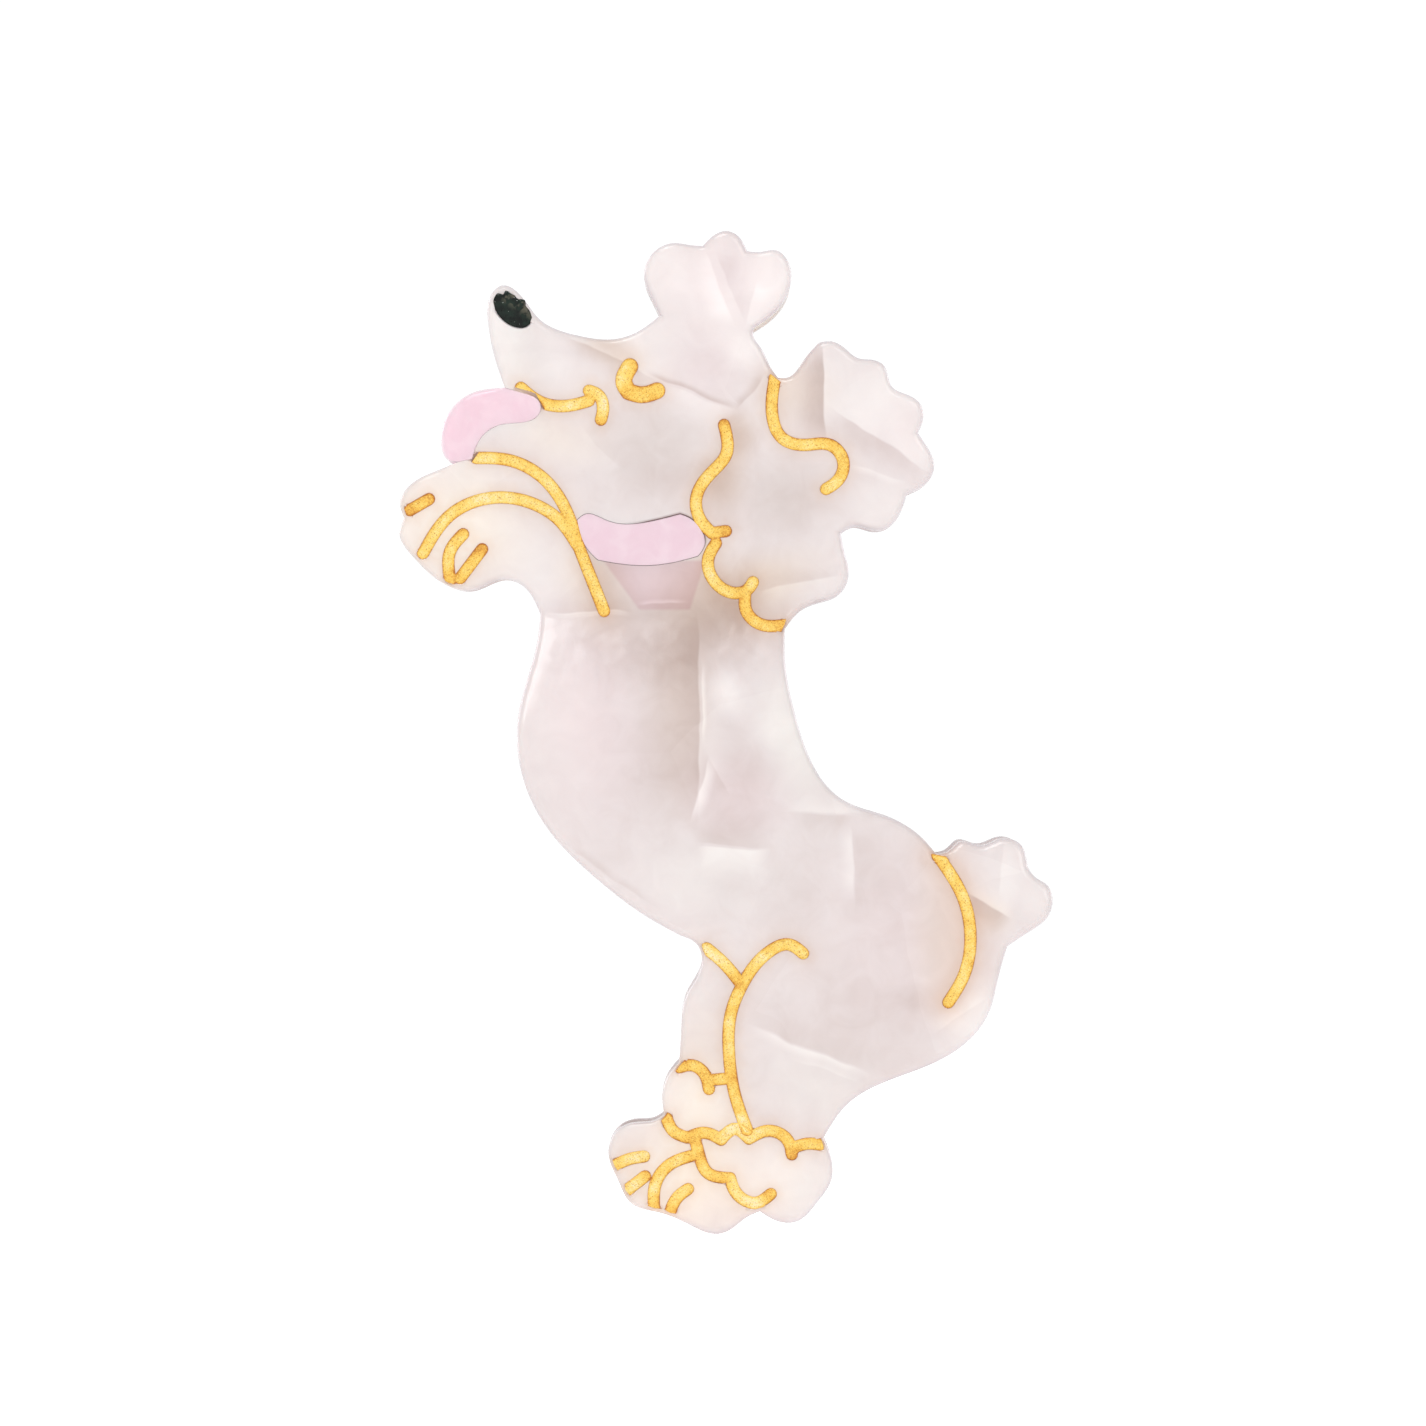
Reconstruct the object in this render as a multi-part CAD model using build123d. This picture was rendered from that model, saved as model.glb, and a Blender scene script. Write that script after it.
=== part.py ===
"""Hair claw cut from pearl acetate sheet in the shape of a poodle standing on its hind feet.

Two mirrored jaws, each a heat-bent dog silhouette, meet on a steel pin behind the neck. The heads are
the finger grips and the bodies are the jaws that close on the hair. Millimetres, +Z up, the front jaw
towards -Y, and the origin under the middle of the box, on the surface that the feet stand on.
"""
from build123d import *
from math import cos, radians, sin, sqrt, tan
import os

# Acetate sheet and its bends, seen from the side. "Depth" is the distance from the mid-plane, Y = 0.
SHEET = 4.0               # thickness of the sheet
NECK_Z = 62.4             # height of the hinge, where the sheet is bent
NECK_DEPTH = 7.6          # depth of the sheet's middle at the bend
GRIP_TILT = 12.0          # degrees that a grip leans away from the mid-plane
BELLY_RADIUS = 58.0       # bend of the body, at the sheet's middle
TIP_DEPTH = 2.7           # depth of the sheet's middle at the foot of the jaw
FOOT_FLAT = 0.3           # half of the gap left between the two feet
BEND_HOLLOW = 5.0         # radius of the outer face at the neck, where it is hollow
LEAST_BEND = 0.5          # radius kept on a band that is wider than the bend's own radius
TOP_Z = 104.0             # a height above the whole silhouette
BOTTOM_Z = -4.0           # a height below it
REACH = 60.0              # half the width of a band, more than half the object's width

# Decoration
GROOVE_DEPTH = 0.55       # engraved groove, from the outer face
PAINT_LEVEL = 0.20        # the paint ends this far below the outer face
STROKE = 1.2              # width of an engraved line
EYE_STROKE = 1.6
POCKET = 2.2              # depth of the collar's pocket
ENAMEL_SEAT = 0.35        # depth of the nose's seat
ENAMEL_LEVEL = 0.03       # the enamel ends this far below the outer face, so that the grip rests flat

# Hinge
PIN_RADIUS = 1.0
RUNNING_FIT = 0.05        # radial clearance of the turning lugs
LUG_RADIUS = 3.1
LUG_THICK = 2.2
LUG_GAP = 0.3             # side clearance between neighbouring lugs
HINGE_LEFT = -15.2        # left face of the outermost lug
HINGE_RIGHT = 2.8         # right face of the outermost lug
LUG_FOOT = 3.4            # half the height of a lug where it is glued to the jaw
HEAD_RADIUS = 1.9
HEAD_THICK = 0.9
PAD_THICK = 1.1           # trapezoidal pad glued behind the collar

# Torsion spring
WIRE = 0.9                # wire diameter
COIL_RADIUS = 2.15        # middle of the wire
COIL_TURNS = 6            # whole turns, besides the part turn between the legs
LEG_LENGTH = 13.0
LEG_TILT = 23.0           # degrees that a leg leans away from the mid-plane, so that its end meets the grip
SPRING_GAP = 0.6          # gap between the coil and the lugs beside it

# Hair combs inside the jaws
TOOTH_THICK = 1.8
TOOTH_PITCH = 4.6         # the two combs' teeth pass between each other
TOOTH_TIP_DEPTH = -2.2    # the teeth pass the mid-plane by this much
COMB_LEFT = 1.9           # middle of the first front tooth
FRONT_TEETH = 4
REAR_TEETH = 5
RAIL_BOTTOM = 18.0
RAIL_TOP = 28.0
RAIL_THICK = 1.6
RAIL_MARGIN = 0.8         # the rail runs past its end teeth by this much

# The dog's outline as stretches between its creases, each starting where the one before ended
SNOUT = [(-23.0, 87.4), (-23.8, 91.4), (-23.5, 94.0), (-22.3, 95.0), (-20.7, 94.2), (-18.6, 91.6),
         (-14.8, 90.0), (-10.8, 89.7), (-8.6, 90.5), (-6.6, 92.0)]
KNOT_LEFT = [(-7.4, 93.7), (-8.2, 95.8), (-7.2, 98.3), (-5.2, 99.2), (-3.6, 99.0), (-2.3, 98.9)]
KNOT_MIDDLE = [(-1.3, 99.9), (0.1, 100.4), (1.2, 99.9), (2.1, 98.4)]
KNOT_RIGHT = [(3.4, 98.3), (4.9, 98.5), (6.2, 97.4), (6.4, 94.9), (5.0, 92.4), (2.8, 90.8)]
BROW = [(2.7, 90.1), (3.4, 88.9), (4.6, 86.6), (5.2, 85.8)]
EAR_FRONT = [(6.1, 85.8), (7.8, 87.6), (9.3, 89.3)]
EAR_TOP = [(10.4, 89.45), (11.8, 88.8), (13.2, 87.75), (14.6, 87.6), (15.8, 87.0), (16.6, 84.9),
           (18.4, 84.0), (19.6, 82.9), (19.6, 81.2), (19.2, 80.3)]
EAR_SIDE = [(20.0, 79.1), (20.8, 77.5), (20.5, 75.8), (18.1, 74.2)]
EAR_CORNER = [(17.5, 72.4), (16.3, 70.9), (14.6, 70.6), (12.8, 71.0), (11.5, 70.3)]
EAR_TIP = [(11.8, 68.6), (12.3, 66.3), (11.4, 64.2), (8.5, 63.1), (7.2, 62.3), (5.9, 60.7)]
BACK = [(5.9, 57.6), (6.8, 52.6), (8.6, 47.3), (10.9, 44.2), (13.4, 42.8), (16.5, 41.8), (19.4, 40.0),
        (21.0, 38.2)]
TAIL_TOP = [(22.2, 38.5), (23.4, 39.5), (25.3, 39.1), (27.6, 39.8), (29.4, 39.2), (30.1, 37.0)]
TAIL_TIP = [(30.9, 35.9), (32.0, 35.2), (32.6, 33.9), (32.1, 31.9), (30.2, 30.4), (28.1, 29.0)]
RUMP = [(27.2, 25.9), (26.2, 22.2), (23.6, 19.0), (19.6, 16.8), (15.2, 15.1), (12.2, 13.2), (9.8, 9.8)]
HEEL = [(10.5, 7.9), (10.6, 5.6), (9.0, 3.0), (7.2, 1.3), (5.5, 1.2), (3.4, 2.3)]
SOLE = [(2.1, 1.7), (0.4, 0.4), (-1.0, 0.0), (-3.6, 0.9), (-6.8, 2.2), (-9.5, 3.1), (-10.8, 5.4),
        (-11.8, 8.4), (-11.0, 10.4), (-9.2, 11.3), (-7.2, 11.5), (-6.2, 12.1)]
ANKLE = [(-6.4, 14.2), (-5.7, 16.2), (-4.7, 17.4)]
SHIN = [(-4.5, 20.6), (-4.0, 24.0), (-2.4, 27.4), (-2.9, 29.2), (-4.6, 30.1)]
BELLY = [(-8.0, 32.0), (-13.0, 35.8), (-18.0, 41.0), (-20.5, 46.6), (-20.8, 51.9), (-18.9, 59.5),
         (-18.6, 62.2)]
PAW = [(-20.1, 64.8), (-22.1, 65.7), (-25.4, 64.6), (-28.7, 65.5), (-31.4, 68.0), (-32.7, 70.3),
       (-32.2, 71.8)]
PAW_TOP = [(-32.6, 73.4), (-31.6, 75.1), (-29.0, 76.5), (-26.8, 77.4)]
TONGUE_OUTER = [(-27.8, 77.6), (-28.5, 79.6), (-27.8, 82.2), (-25.6, 84.2), (-22.1, 84.8)]
TONGUE_START = (-22.1, 84.8)
TONGUE_ROOT = (-26.8, 77.4)
OUTLINE = [SNOUT, KNOT_LEFT, KNOT_MIDDLE, KNOT_RIGHT, BROW, EAR_FRONT, EAR_TOP, EAR_SIDE, EAR_CORNER,
           EAR_TIP, BACK, TAIL_TOP, TAIL_TIP, RUMP, HEEL, SOLE, ANKLE, SHIN, BELLY, PAW, PAW_TOP,
           TONGUE_OUTER]

# Inlays, as closed outlines of the same kind
TONGUE = [TONGUE_OUTER, [(-20.4, 84.3), (-18.6, 83.3), (-18.6, 82.3), (-20.0, 81.4), (-22.6, 81.1),
                         (-24.5, 79.8), (-25.4, 77.7)], [TONGUE_ROOT]]
COLLAR_START = (-14.9, 71.6)
COLLAR = [[(-14.1, 72.2), (-12.0, 71.6), (-9.6, 71.2), (-7.0, 71.6), (-4.6, 72.2)],
          [(-3.6, 71.8), (-2.2, 70.1)], [(-2.1, 69.2), (-2.8, 68.0)],
          [(-5.6, 67.3), (-9.4, 67.1), (-12.8, 67.6)], [(-13.8, 68.6), COLLAR_START]]
HINGE_PAD = [(-11.2, 67.0), (-2.8, 67.0), (-4.0, 63.2), (-8.4, 63.2)]
NOSE_MIDDLE = (-21.3, 92.6)
NOSE_SIZE = (2.25, 1.45)  # half axes
NOSE_TURN = -42.0

# Engraved lines, by the place they decorate
FACE_LINES = [[(-20.5, 84.8), (-18.6, 83.4), (-15.8, 83.0), (-13.7, 83.5)],
              [(-13.7, 84.5), (-12.8, 84.1), (-12.3, 83.1), (-12.5, 81.6)]]
EYE_LINES = [[(-9.6, 86.9), (-10.2, 85.3), (-9.7, 84.4)], [(-9.7, 84.4), (-8.4, 84.1), (-6.9, 84.5)]]
EAR_LINES = [[(-0.2, 81.1), (0.0, 78.1), (-1.5, 76.3), (-3.0, 73.6), (-2.6, 71.7), (-1.4, 70.3)],
             [(-1.4, 70.3), (0.0, 70.5)],
             [(-1.0, 69.3), (-1.8, 67.6), (-1.0, 65.3), (1.1, 64.3), (2.1, 64.6), (2.7, 65.4)],
             [(1.9, 64.0), (2.0, 62.6), (3.4, 61.2), (5.8, 61.1)],
             [(4.9, 85.8), (4.6, 82.3), (5.6, 79.8), (7.9, 79.1), (10.4, 79.1), (11.7, 77.6),
              (11.3, 75.7), (10.0, 74.7)]]
PAW_LINES = [[(-25.0, 77.8), (-21.8, 77.6), (-18.3, 75.8), (-16.0, 72.6), (-14.8, 69.1)],
             [(-14.8, 69.1), (-12.2, 62.5)],
             [(-30.3, 68.3), (-27.7, 72.0), (-23.6, 73.8), (-19.2, 73.2), (-16.6, 71.5), (-15.0, 69.3)],
             [(-31.6, 72.6), (-29.7, 73.7)],
             [(-27.6, 65.6), (-27.6, 68.5), (-26.3, 70.2)],
             [(-26.6, 65.8), (-24.4, 68.7)]]
TAIL_LINES = [[(21.1, 38.1), (23.6, 34.0), (24.4, 29.9), (23.7, 26.0), (22.2, 23.4)]]
LEG_LINES = [[(-1.9, 28.8), (-0.1, 27.2), (1.3, 25.5)],
             [(7.7, 28.3), (6.3, 29.2), (4.2, 28.4), (1.7, 25.3), (0.5, 22.3), (0.3, 18.3), (0.9, 14.1),
              (2.1, 10.6)],
             [(-4.6, 16.9), (-3.4, 17.1), (-2.2, 16.3), (-1.7, 14.7)],
             [(-1.6, 15.6), (0.5, 15.8)]]
FOOT_LINES = [[(-5.9, 11.7), (-5.3, 10.5), (-3.8, 9.8)],
              [(-3.8, 9.8), (-2.2, 10.3), (-0.5, 9.6)],
              [(-0.5, 9.6), (0.9, 10.7), (2.3, 9.7)],
              [(2.3, 9.7), (4.4, 10.5), (6.2, 9.5), (6.6, 8.1)],
              [(6.8, 8.8), (8.2, 9.2), (9.4, 9.1)],
              [(-3.1, 9.6), (-2.7, 8.1), (-1.9, 6.3), (0.4, 5.7)],
              [(0.4, 5.7), (1.1, 4.1), (3.0, 3.2), (4.5, 4.1)],
              [(-3.3, 8.0), (-5.6, 7.1), (-7.0, 5.3), (-7.2, 2.6)],
              [(-11.1, 7.0), (-9.8, 7.6), (-8.2, 7.9)],
              [(-10.0, 4.4), (-8.1, 5.9)],
              [(-5.6, 2.3), (-4.9, 3.7), (-3.8, 4.6)]]


def stretch(points):
    """One smooth piece of an outline: a straight line or a spline through its points."""
    if len(points) == 2:
        return Line(*points)
    return Spline(*points)


def outline_face(start, stretches):
    """Closed face in the XZ plane from stretches that follow each other from a start point."""
    edges = []
    last = start
    for points in stretches:
        edges.append(stretch([last] + points))
        last = points[-1]
    return Plane.XZ * make_face(edges)


def forward_prism(face):
    """The space in front of the mid-plane, towards -Y, that has a face as its plan."""
    return extrude(face, amount=REACH, dir=(0, -1, 0))


def belly_centre():
    """Middle of the belly's bend, as (depth, height), from the neck point and the tip point."""
    half = sqrt((NECK_DEPTH - TIP_DEPTH) ** 2 + NECK_Z ** 2) / 2
    rise = sqrt(BELLY_RADIUS ** 2 - half ** 2)
    middle = ((NECK_DEPTH + TIP_DEPTH) / 2, NECK_Z / 2)
    across = ((NECK_DEPTH - TIP_DEPTH) / (2 * half), NECK_Z / (2 * half))
    return middle[0] - across[1] * rise, middle[1] + across[0] * rise


def grip_point(offset, height):
    """Depth of the grip's face that lies a distance outside the sheet's middle."""
    return NECK_DEPTH + offset / cos(radians(GRIP_TILT)) + (height - NECK_Z) * tan(radians(GRIP_TILT))


def bend_point(offset):
    """Where a face of the belly meets the same face of the grip, found by halving an interval."""
    depth_c, height_c = belly_centre()
    low, high = NECK_Z - 12, NECK_Z + 12
    for _ in range(60):
        height = (low + high) / 2
        gone = (grip_point(offset, height) - depth_c) ** 2 + (height - height_c) ** 2
        if gone < (BELLY_RADIUS + offset) ** 2:
            low = height
        else:
            high = height
    return grip_point(offset, height), height


def belly_point(offset, height):
    """Point of the belly's face at a height."""
    depth_c, height_c = belly_centre()
    return depth_c + sqrt((BELLY_RADIUS + offset) ** 2 - (height - height_c) ** 2), height


def sheet_face(offset):
    """One face of the bent sheet as edges from the foot up, in (depth, height)."""
    corner = bend_point(offset)
    foot = belly_point(offset, BOTTOM_Z)
    middle = belly_point(offset, (corner[1] + BOTTOM_Z) / 2)
    top = (grip_point(offset, TOP_Z), TOP_Z)
    return ThreePointArc(foot, middle, corner), Line(corner, top), foot, corner, top


def sheet_band(low, high):
    """The part of the bent sheet between two offsets from its middle, as wide as it can be."""
    arc_low, line_low, foot_low, corner_low, top_low = sheet_face(low)
    arc_high, line_high, foot_high, corner_high, top_high = sheet_face(high)
    ends = [Line(top_low, top_high), Line(foot_low, foot_high)]
    section = make_face([arc_low, line_low, arc_high, line_high] + ends)
    for corner, offset in ((corner_low, low), (corner_high, high)):
        vertex = section.vertices().sort_by_distance(Vector(corner[0], corner[1], 0))[0]
        section = fillet(vertex, max(BEND_HOLLOW + SHEET / 2 - offset, LEAST_BEND))
    # Local (depth, height) on a plane that looks along X with its own x towards -Y
    side = Plane(origin=(0, 0, 0), x_dir=(0, -1, 0), z_dir=(-1, 0, 0))
    return extrude(side * section, amount=REACH, both=True)


def stroke_face(points, width):
    """An engraved line: the cutter's path with its round ends, in the XZ plane."""
    path = stretch(points)
    face = trace(path, line_width=width)
    for end in (points[0], points[-1]):
        face += Pos(*end) * Circle(width / 2)
    return Plane.XZ * face


def engraving(lines, width=STROKE):
    """Prisms of a group of engraved lines, joined where they cross."""
    solid = forward_prism(stroke_face(lines[0], width))
    for points in lines[1:]:
        solid += forward_prism(stroke_face(points, width))
    return solid


def nose_face():
    """The nose's oval."""
    return Plane.XZ * (Pos(*NOSE_MIDDLE) * Rot(0, 0, NOSE_TURN) * Ellipse(*NOSE_SIZE))


def lug(left, clearance):
    """Hinge plate square to the pin, from the neck's inner face round the pin."""
    hole = PIN_RADIUS + clearance
    reach = NECK_DEPTH
    side = Plane(origin=(left, 0, NECK_Z), x_dir=(0, -1, 0), z_dir=(-1, 0, 0))
    tab = make_face(Polyline((0, -LUG_RADIUS), (reach, -LUG_FOOT), (reach, LUG_FOOT), (0, LUG_RADIUS),
                             close=True))
    plate = tab + Circle(LUG_RADIUS)
    plate -= Circle(hole)
    return extrude(side * plate, amount=-LUG_THICK)


def torsion_spring(left, right):
    """Coil round the pin whose two legs run straight on from its ends and push the grips apart."""
    start_x = left + SPRING_GAP + WIRE / 2
    length = right - left - 2 * SPRING_GAP - WIRE
    turns = COIL_TURNS + 0.5 - 2 * LEG_TILT / 360
    coil = Helix(length / turns, length, COIL_RADIUS)
    front_leg = Line(coil @ 0 - coil % 0 * LEG_LENGTH, coil @ 0)
    rear_leg = Line(coil @ 1, coil @ 1 + coil % 1 * LEG_LENGTH)
    path = Wire.combine([front_leg, coil, rear_leg])[0]
    wire = sweep(Plane(origin=front_leg @ 0, z_dir=front_leg % 0) * Circle(WIRE / 2), path)
    # The coil climbs along +X and starts on the front side, below the pin by the leg's tilt
    lean = radians(LEG_TILT)
    place = Plane(origin=(start_x, 0, NECK_Z), x_dir=(0, -cos(lean), -sin(lean)), z_dir=(1, 0, 0))
    return place * wire


def hinge_pin():
    """Steel pin with its formed head on the left."""
    length = HINGE_RIGHT - HINGE_LEFT + HEAD_THICK / 2
    along_x = Plane(origin=(HINGE_LEFT, 0, NECK_Z), z_dir=(1, 0, 0))
    shank = extrude(along_x * Circle(PIN_RADIUS), amount=length)
    return shank + rivet_head(HINGE_LEFT, -1)


def rivet_head(x, way):
    """Domed head: a short cylinder with its outer edge rounded."""
    seat = Plane(origin=(x, 0, NECK_Z), z_dir=(way, 0, 0))
    head = extrude(seat * Circle(HEAD_RADIUS), amount=HEAD_THICK)
    rim = head.edges().filter_by(GeomType.CIRCLE).sort_by(Axis.X)[0 if way < 0 else -1]
    return fillet(rim, HEAD_THICK * 0.8)


def pin_cap():
    """Pressed-on cap at the pin's right end."""
    pocket = Plane(origin=(HINGE_RIGHT, 0, NECK_Z), z_dir=(1, 0, 0))
    return rivet_head(HINGE_RIGHT, 1) - extrude(pocket * Circle(PIN_RADIUS), amount=HEAD_THICK / 2)


def tooth(middle_x):
    """Curved hair tooth: a hooked blade from the rail to its blunt tip across the mid-plane."""
    low, high = RAIL_BOTTOM + 1.0, RAIL_TOP - 2.0
    root = belly_point(-SHEET / 2, (low + high) / 2)[0]
    tip = (TOOTH_TIP_DEPTH, low - 1.0)
    chin = (TOOTH_TIP_DEPTH + 0.9, low - 1.9)
    edges = [ThreePointArc((root, high), (root * 0.5, high - 3.4), tip),
             Line(tip, chin),
             ThreePointArc(chin, (root * 0.58, low + 0.6), (root, low + 0.4)),
             Line((root, low + 0.4), (root, high))]
    side = Plane(origin=(middle_x + TOOTH_THICK / 2, 0, 0), x_dir=(0, -1, 0), z_dir=(-1, 0, 0))
    return extrude(side * make_face(edges), amount=TOOTH_THICK)


def comb(first_x, count):
    """Rail glued inside the belly, with its row of teeth."""
    last_x = first_x + (count - 1) * TOOTH_PITCH
    middle = ((first_x + last_x) / 2, (RAIL_BOTTOM + RAIL_TOP) / 2)
    width = last_x - first_x + TOOTH_THICK + 2 * RAIL_MARGIN
    plan = Plane.XZ * (Pos(*middle) * RectangleRounded(width, RAIL_TOP - RAIL_BOTTOM, 1.5))
    inner = -SHEET / 2
    rail = forward_prism(plan) & sheet_band(inner - RAIL_THICK, inner)
    jaw_space = sheet_band(inner, SHEET)
    for index in range(count):
        rail += tooth(first_x + index * TOOTH_PITCH) - jaw_space
    return rail


def rear(part):
    """The same piece on the rear jaw."""
    return mirror(part, about=Plane.XZ)


def save(name, part):
    """Write a piece to its own file, as one solid or as a group of separate solids."""
    solids = part.solids()
    shape = solids[0] if len(solids) == 1 else Compound(children=list(solids))
    export_step(shape, os.path.join("parts", name + ".step"))
    print(name, len(solids), round(sum(s.volume for s in solids), 2))


def build_jaw():
    """The bent sheet with its pockets and engraved grooves, and the pieces set into them."""
    outer = SHEET / 2
    sheet = sheet_band(-outer, outer)
    cutter = sheet_band(outer - GROOVE_DEPTH, outer + 1.0)
    fill = sheet_band(outer - GROOVE_DEPTH, outer - PAINT_LEVEL)
    silhouette = forward_prism(outline_face(TONGUE_START, OUTLINE))
    jaw = silhouette & sheet
    pieces = {}

    tongue = forward_prism(outline_face(TONGUE_ROOT, TONGUE))
    pieces["tongue_inlay"] = tongue & sheet & silhouette
    jaw -= tongue

    collar = forward_prism(outline_face(COLLAR_START, COLLAR))
    pieces["collar_inlay"] = collar & sheet_band(outer - POCKET, outer)
    jaw -= collar & sheet_band(outer - POCKET, outer + 1.0)

    nose = forward_prism(nose_face())
    pieces["nose_enamel"] = nose & sheet_band(outer - ENAMEL_SEAT, outer - ENAMEL_LEVEL)
    jaw -= nose & sheet_band(outer - ENAMEL_SEAT, outer + 1.0)

    groups = {"gold_mouth": (FACE_LINES, STROKE), "gold_eye": (EYE_LINES, EYE_STROKE),
              "gold_ear": (EAR_LINES, STROKE), "gold_paw": (PAW_LINES, STROKE),
              "gold_tail": (TAIL_LINES, STROKE), "gold_leg": (LEG_LINES, STROKE),
              "gold_foot": (FOOT_LINES, STROKE)}
    for name, (lines, width) in groups.items():
        strokes = engraving(lines, width)
        pieces[name] = strokes & fill & silhouette
        groove = strokes & cutter
        jaw -= groove
        for inlay in ("tongue_inlay", "collar_inlay"):
            pieces[inlay] -= groove

    pieces["gold_leg"] -= pieces["gold_foot"]
    jaw -= Box(2 * REACH, 2 * FOOT_FLAT, 2 * REACH)
    pieces["jaw"] = jaw
    pad = forward_prism(Plane.XZ * make_face(Polyline(*HINGE_PAD, close=True)))
    pieces["hinge_pad"] = pad & sheet_band(-outer - PAD_THICK, -outer)
    return pieces


def build_lugs(lefts, clearance, jaw_space, pad):
    """The hinge plates of one jaw, ending on its inner face and on the glued pad."""
    lugs = None
    for left in lefts:
        plate = lug(left, clearance) - jaw_space - pad
        plate = plate.solids().sort_by(SortBy.VOLUME)[-1]
        lugs = plate if lugs is None else Compound(children=[lugs, plate])
    return lugs


def main():
    os.makedirs("parts", exist_ok=True)
    pieces = build_jaw()
    for name, piece in pieces.items():
        save("front_" + name, piece)
        save("rear_" + name, rear(piece))

    outside = sheet_band(-SHEET / 2, SHEET + NECK_DEPTH)
    rear_lefts = (HINGE_LEFT, HINGE_RIGHT - LUG_THICK)
    front_lefts = (HINGE_LEFT + LUG_THICK + LUG_GAP, HINGE_RIGHT - 2 * LUG_THICK - LUG_GAP)
    save("front_hinge_lugs", build_lugs(front_lefts, RUNNING_FIT, outside, pieces["hinge_pad"]))
    save("rear_hinge_lugs", rear(build_lugs(rear_lefts, 0.0, outside, pieces["hinge_pad"])))
    save("hinge_pin", hinge_pin())
    save("pin_cap", pin_cap())
    save("torsion_spring", torsion_spring(front_lefts[0] + LUG_THICK, front_lefts[1]))

    save("front_comb", comb(COMB_LEFT, FRONT_TEETH))
    save("rear_comb", rear(comb(COMB_LEFT - TOOTH_PITCH / 2, REAR_TEETH)))


main()
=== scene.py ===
"""Looks of the dog-shaped acetate hair claw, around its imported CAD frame. Metres; drawing values in mm."""
import math

import bmesh
import bpy
import numpy as np
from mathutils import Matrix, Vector
from mathutils.geometry import delaunay_2d_cdt


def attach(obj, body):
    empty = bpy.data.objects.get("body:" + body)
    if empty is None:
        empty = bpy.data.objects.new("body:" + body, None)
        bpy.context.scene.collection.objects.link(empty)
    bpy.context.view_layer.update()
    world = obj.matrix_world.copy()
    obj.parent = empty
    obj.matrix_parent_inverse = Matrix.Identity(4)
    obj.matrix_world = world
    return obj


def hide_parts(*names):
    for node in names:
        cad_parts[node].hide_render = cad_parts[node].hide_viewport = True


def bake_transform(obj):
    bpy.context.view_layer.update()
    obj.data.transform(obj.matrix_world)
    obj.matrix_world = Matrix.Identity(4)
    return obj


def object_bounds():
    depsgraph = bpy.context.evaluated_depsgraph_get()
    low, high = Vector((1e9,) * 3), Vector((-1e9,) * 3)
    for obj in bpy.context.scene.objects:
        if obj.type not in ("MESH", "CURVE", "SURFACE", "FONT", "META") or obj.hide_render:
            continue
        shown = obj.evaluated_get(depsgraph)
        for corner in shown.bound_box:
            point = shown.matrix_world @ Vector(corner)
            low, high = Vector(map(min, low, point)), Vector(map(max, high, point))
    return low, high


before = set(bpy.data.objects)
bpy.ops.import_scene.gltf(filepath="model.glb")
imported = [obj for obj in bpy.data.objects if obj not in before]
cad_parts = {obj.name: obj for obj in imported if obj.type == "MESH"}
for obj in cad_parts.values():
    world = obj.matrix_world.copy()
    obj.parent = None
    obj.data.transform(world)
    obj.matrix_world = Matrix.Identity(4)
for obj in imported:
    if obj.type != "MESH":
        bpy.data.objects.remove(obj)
cad_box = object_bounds()

MM = 0.001
REAR = "rear_jaw_body"
FRONT = "front_jaw_body"

# The bent sheet, as in the CAD: depth is the distance from the mid-plane, Y = 0
SHEET = 4.0
HALF = SHEET / 2
NECK_Z = 62.4
NECK_DEPTH = 7.6
GRIP_TILT = math.radians(12.0)
BELLY_RADIUS = 58.0
TIP_DEPTH = 2.7
NECK_BLEND = 0.9          # softness of the bend at the neck

# The torsion spring, as in the CAD
WIRE = 0.9
WIRE_SIDES = 14
COIL_RADIUS = 2.15        # middle of the wire
COIL_TURNS = 6.372
COIL_LEFT = -9.45
COIL_RIGHT = -2.95
LEG_LENGTH = 13.0
LEG_TILT = math.radians(23.0)

# Edges and engraving
RIM = 0.78                # rounding of the sheet's outer rim
RIM_INSIDE = 0.6          # rounding of the rim on the side of the mid-plane
JOINT_RIM = 0.10          # rounding where an inlay meets the sheet
STROKE = 1.28             # width of an engraved line
EYE_STROKE = 1.75
GROOVE_DEPTH = 0.50
PAINT_LEVEL = 0.17        # the paint's middle lies this far below the face
NOSE_SEAT = 0.22          # the enamel's seat is cut this deep
NOSE_SLOPE = 0.10         # width of the seat's sloping side
COLLAR_SEAT = 0.45
PAINT_END = 0.30          # the paint stops this far inside the sheet's edge
COLLAR_JOINT = 0.03       # width of the joint round the collar
CHIP_SCALE = 0.085        # pearl chips per mm
CHIP_SLOPE = 0.005        # tone that a chip gains per mm along its lean
GRID = 0.95               # spacing of the free points of a face
STEP = 0.40               # spacing of the points along an outline
FACE_MARGIN = 0.45        # free points keep this far from the face's edge
TRACK_MARGIN = 0.30       # and this far from the cuts' lines
TRACK_INSIDE = 0.03       # the cuts' lines stop this far inside an outline
PAINT_SPAN = 2.2          # longest side of a triangle that still lies within a groove
PAINT_WIDTH = 0.985       # the paint's width as a share of the groove's
GLOW_NEAR = 0.30          # reach of the painted amber shade close beside the paint
GLOW_FAR = 1.8            # reach of the softer painted glow round it
INSIDE_GLOW_AND_GLUE = 0.15       # share of the painted glow and of the glue that shows on the inner face
GLUE_WIDTH = 0.12
GLUE_FROM = (-6.0, 70.6)  # the glue shows round the collar above a line through this point
GLUE_FALL = 0.30          # fall of that line per mm to the right
COLLAR_SHEET = 0.50       # thickness of the collar inlay

# The frame's middle in the front view, from the object's origin
CAMERA_X = -1.3
CAMERA_Z = 52.3

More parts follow.
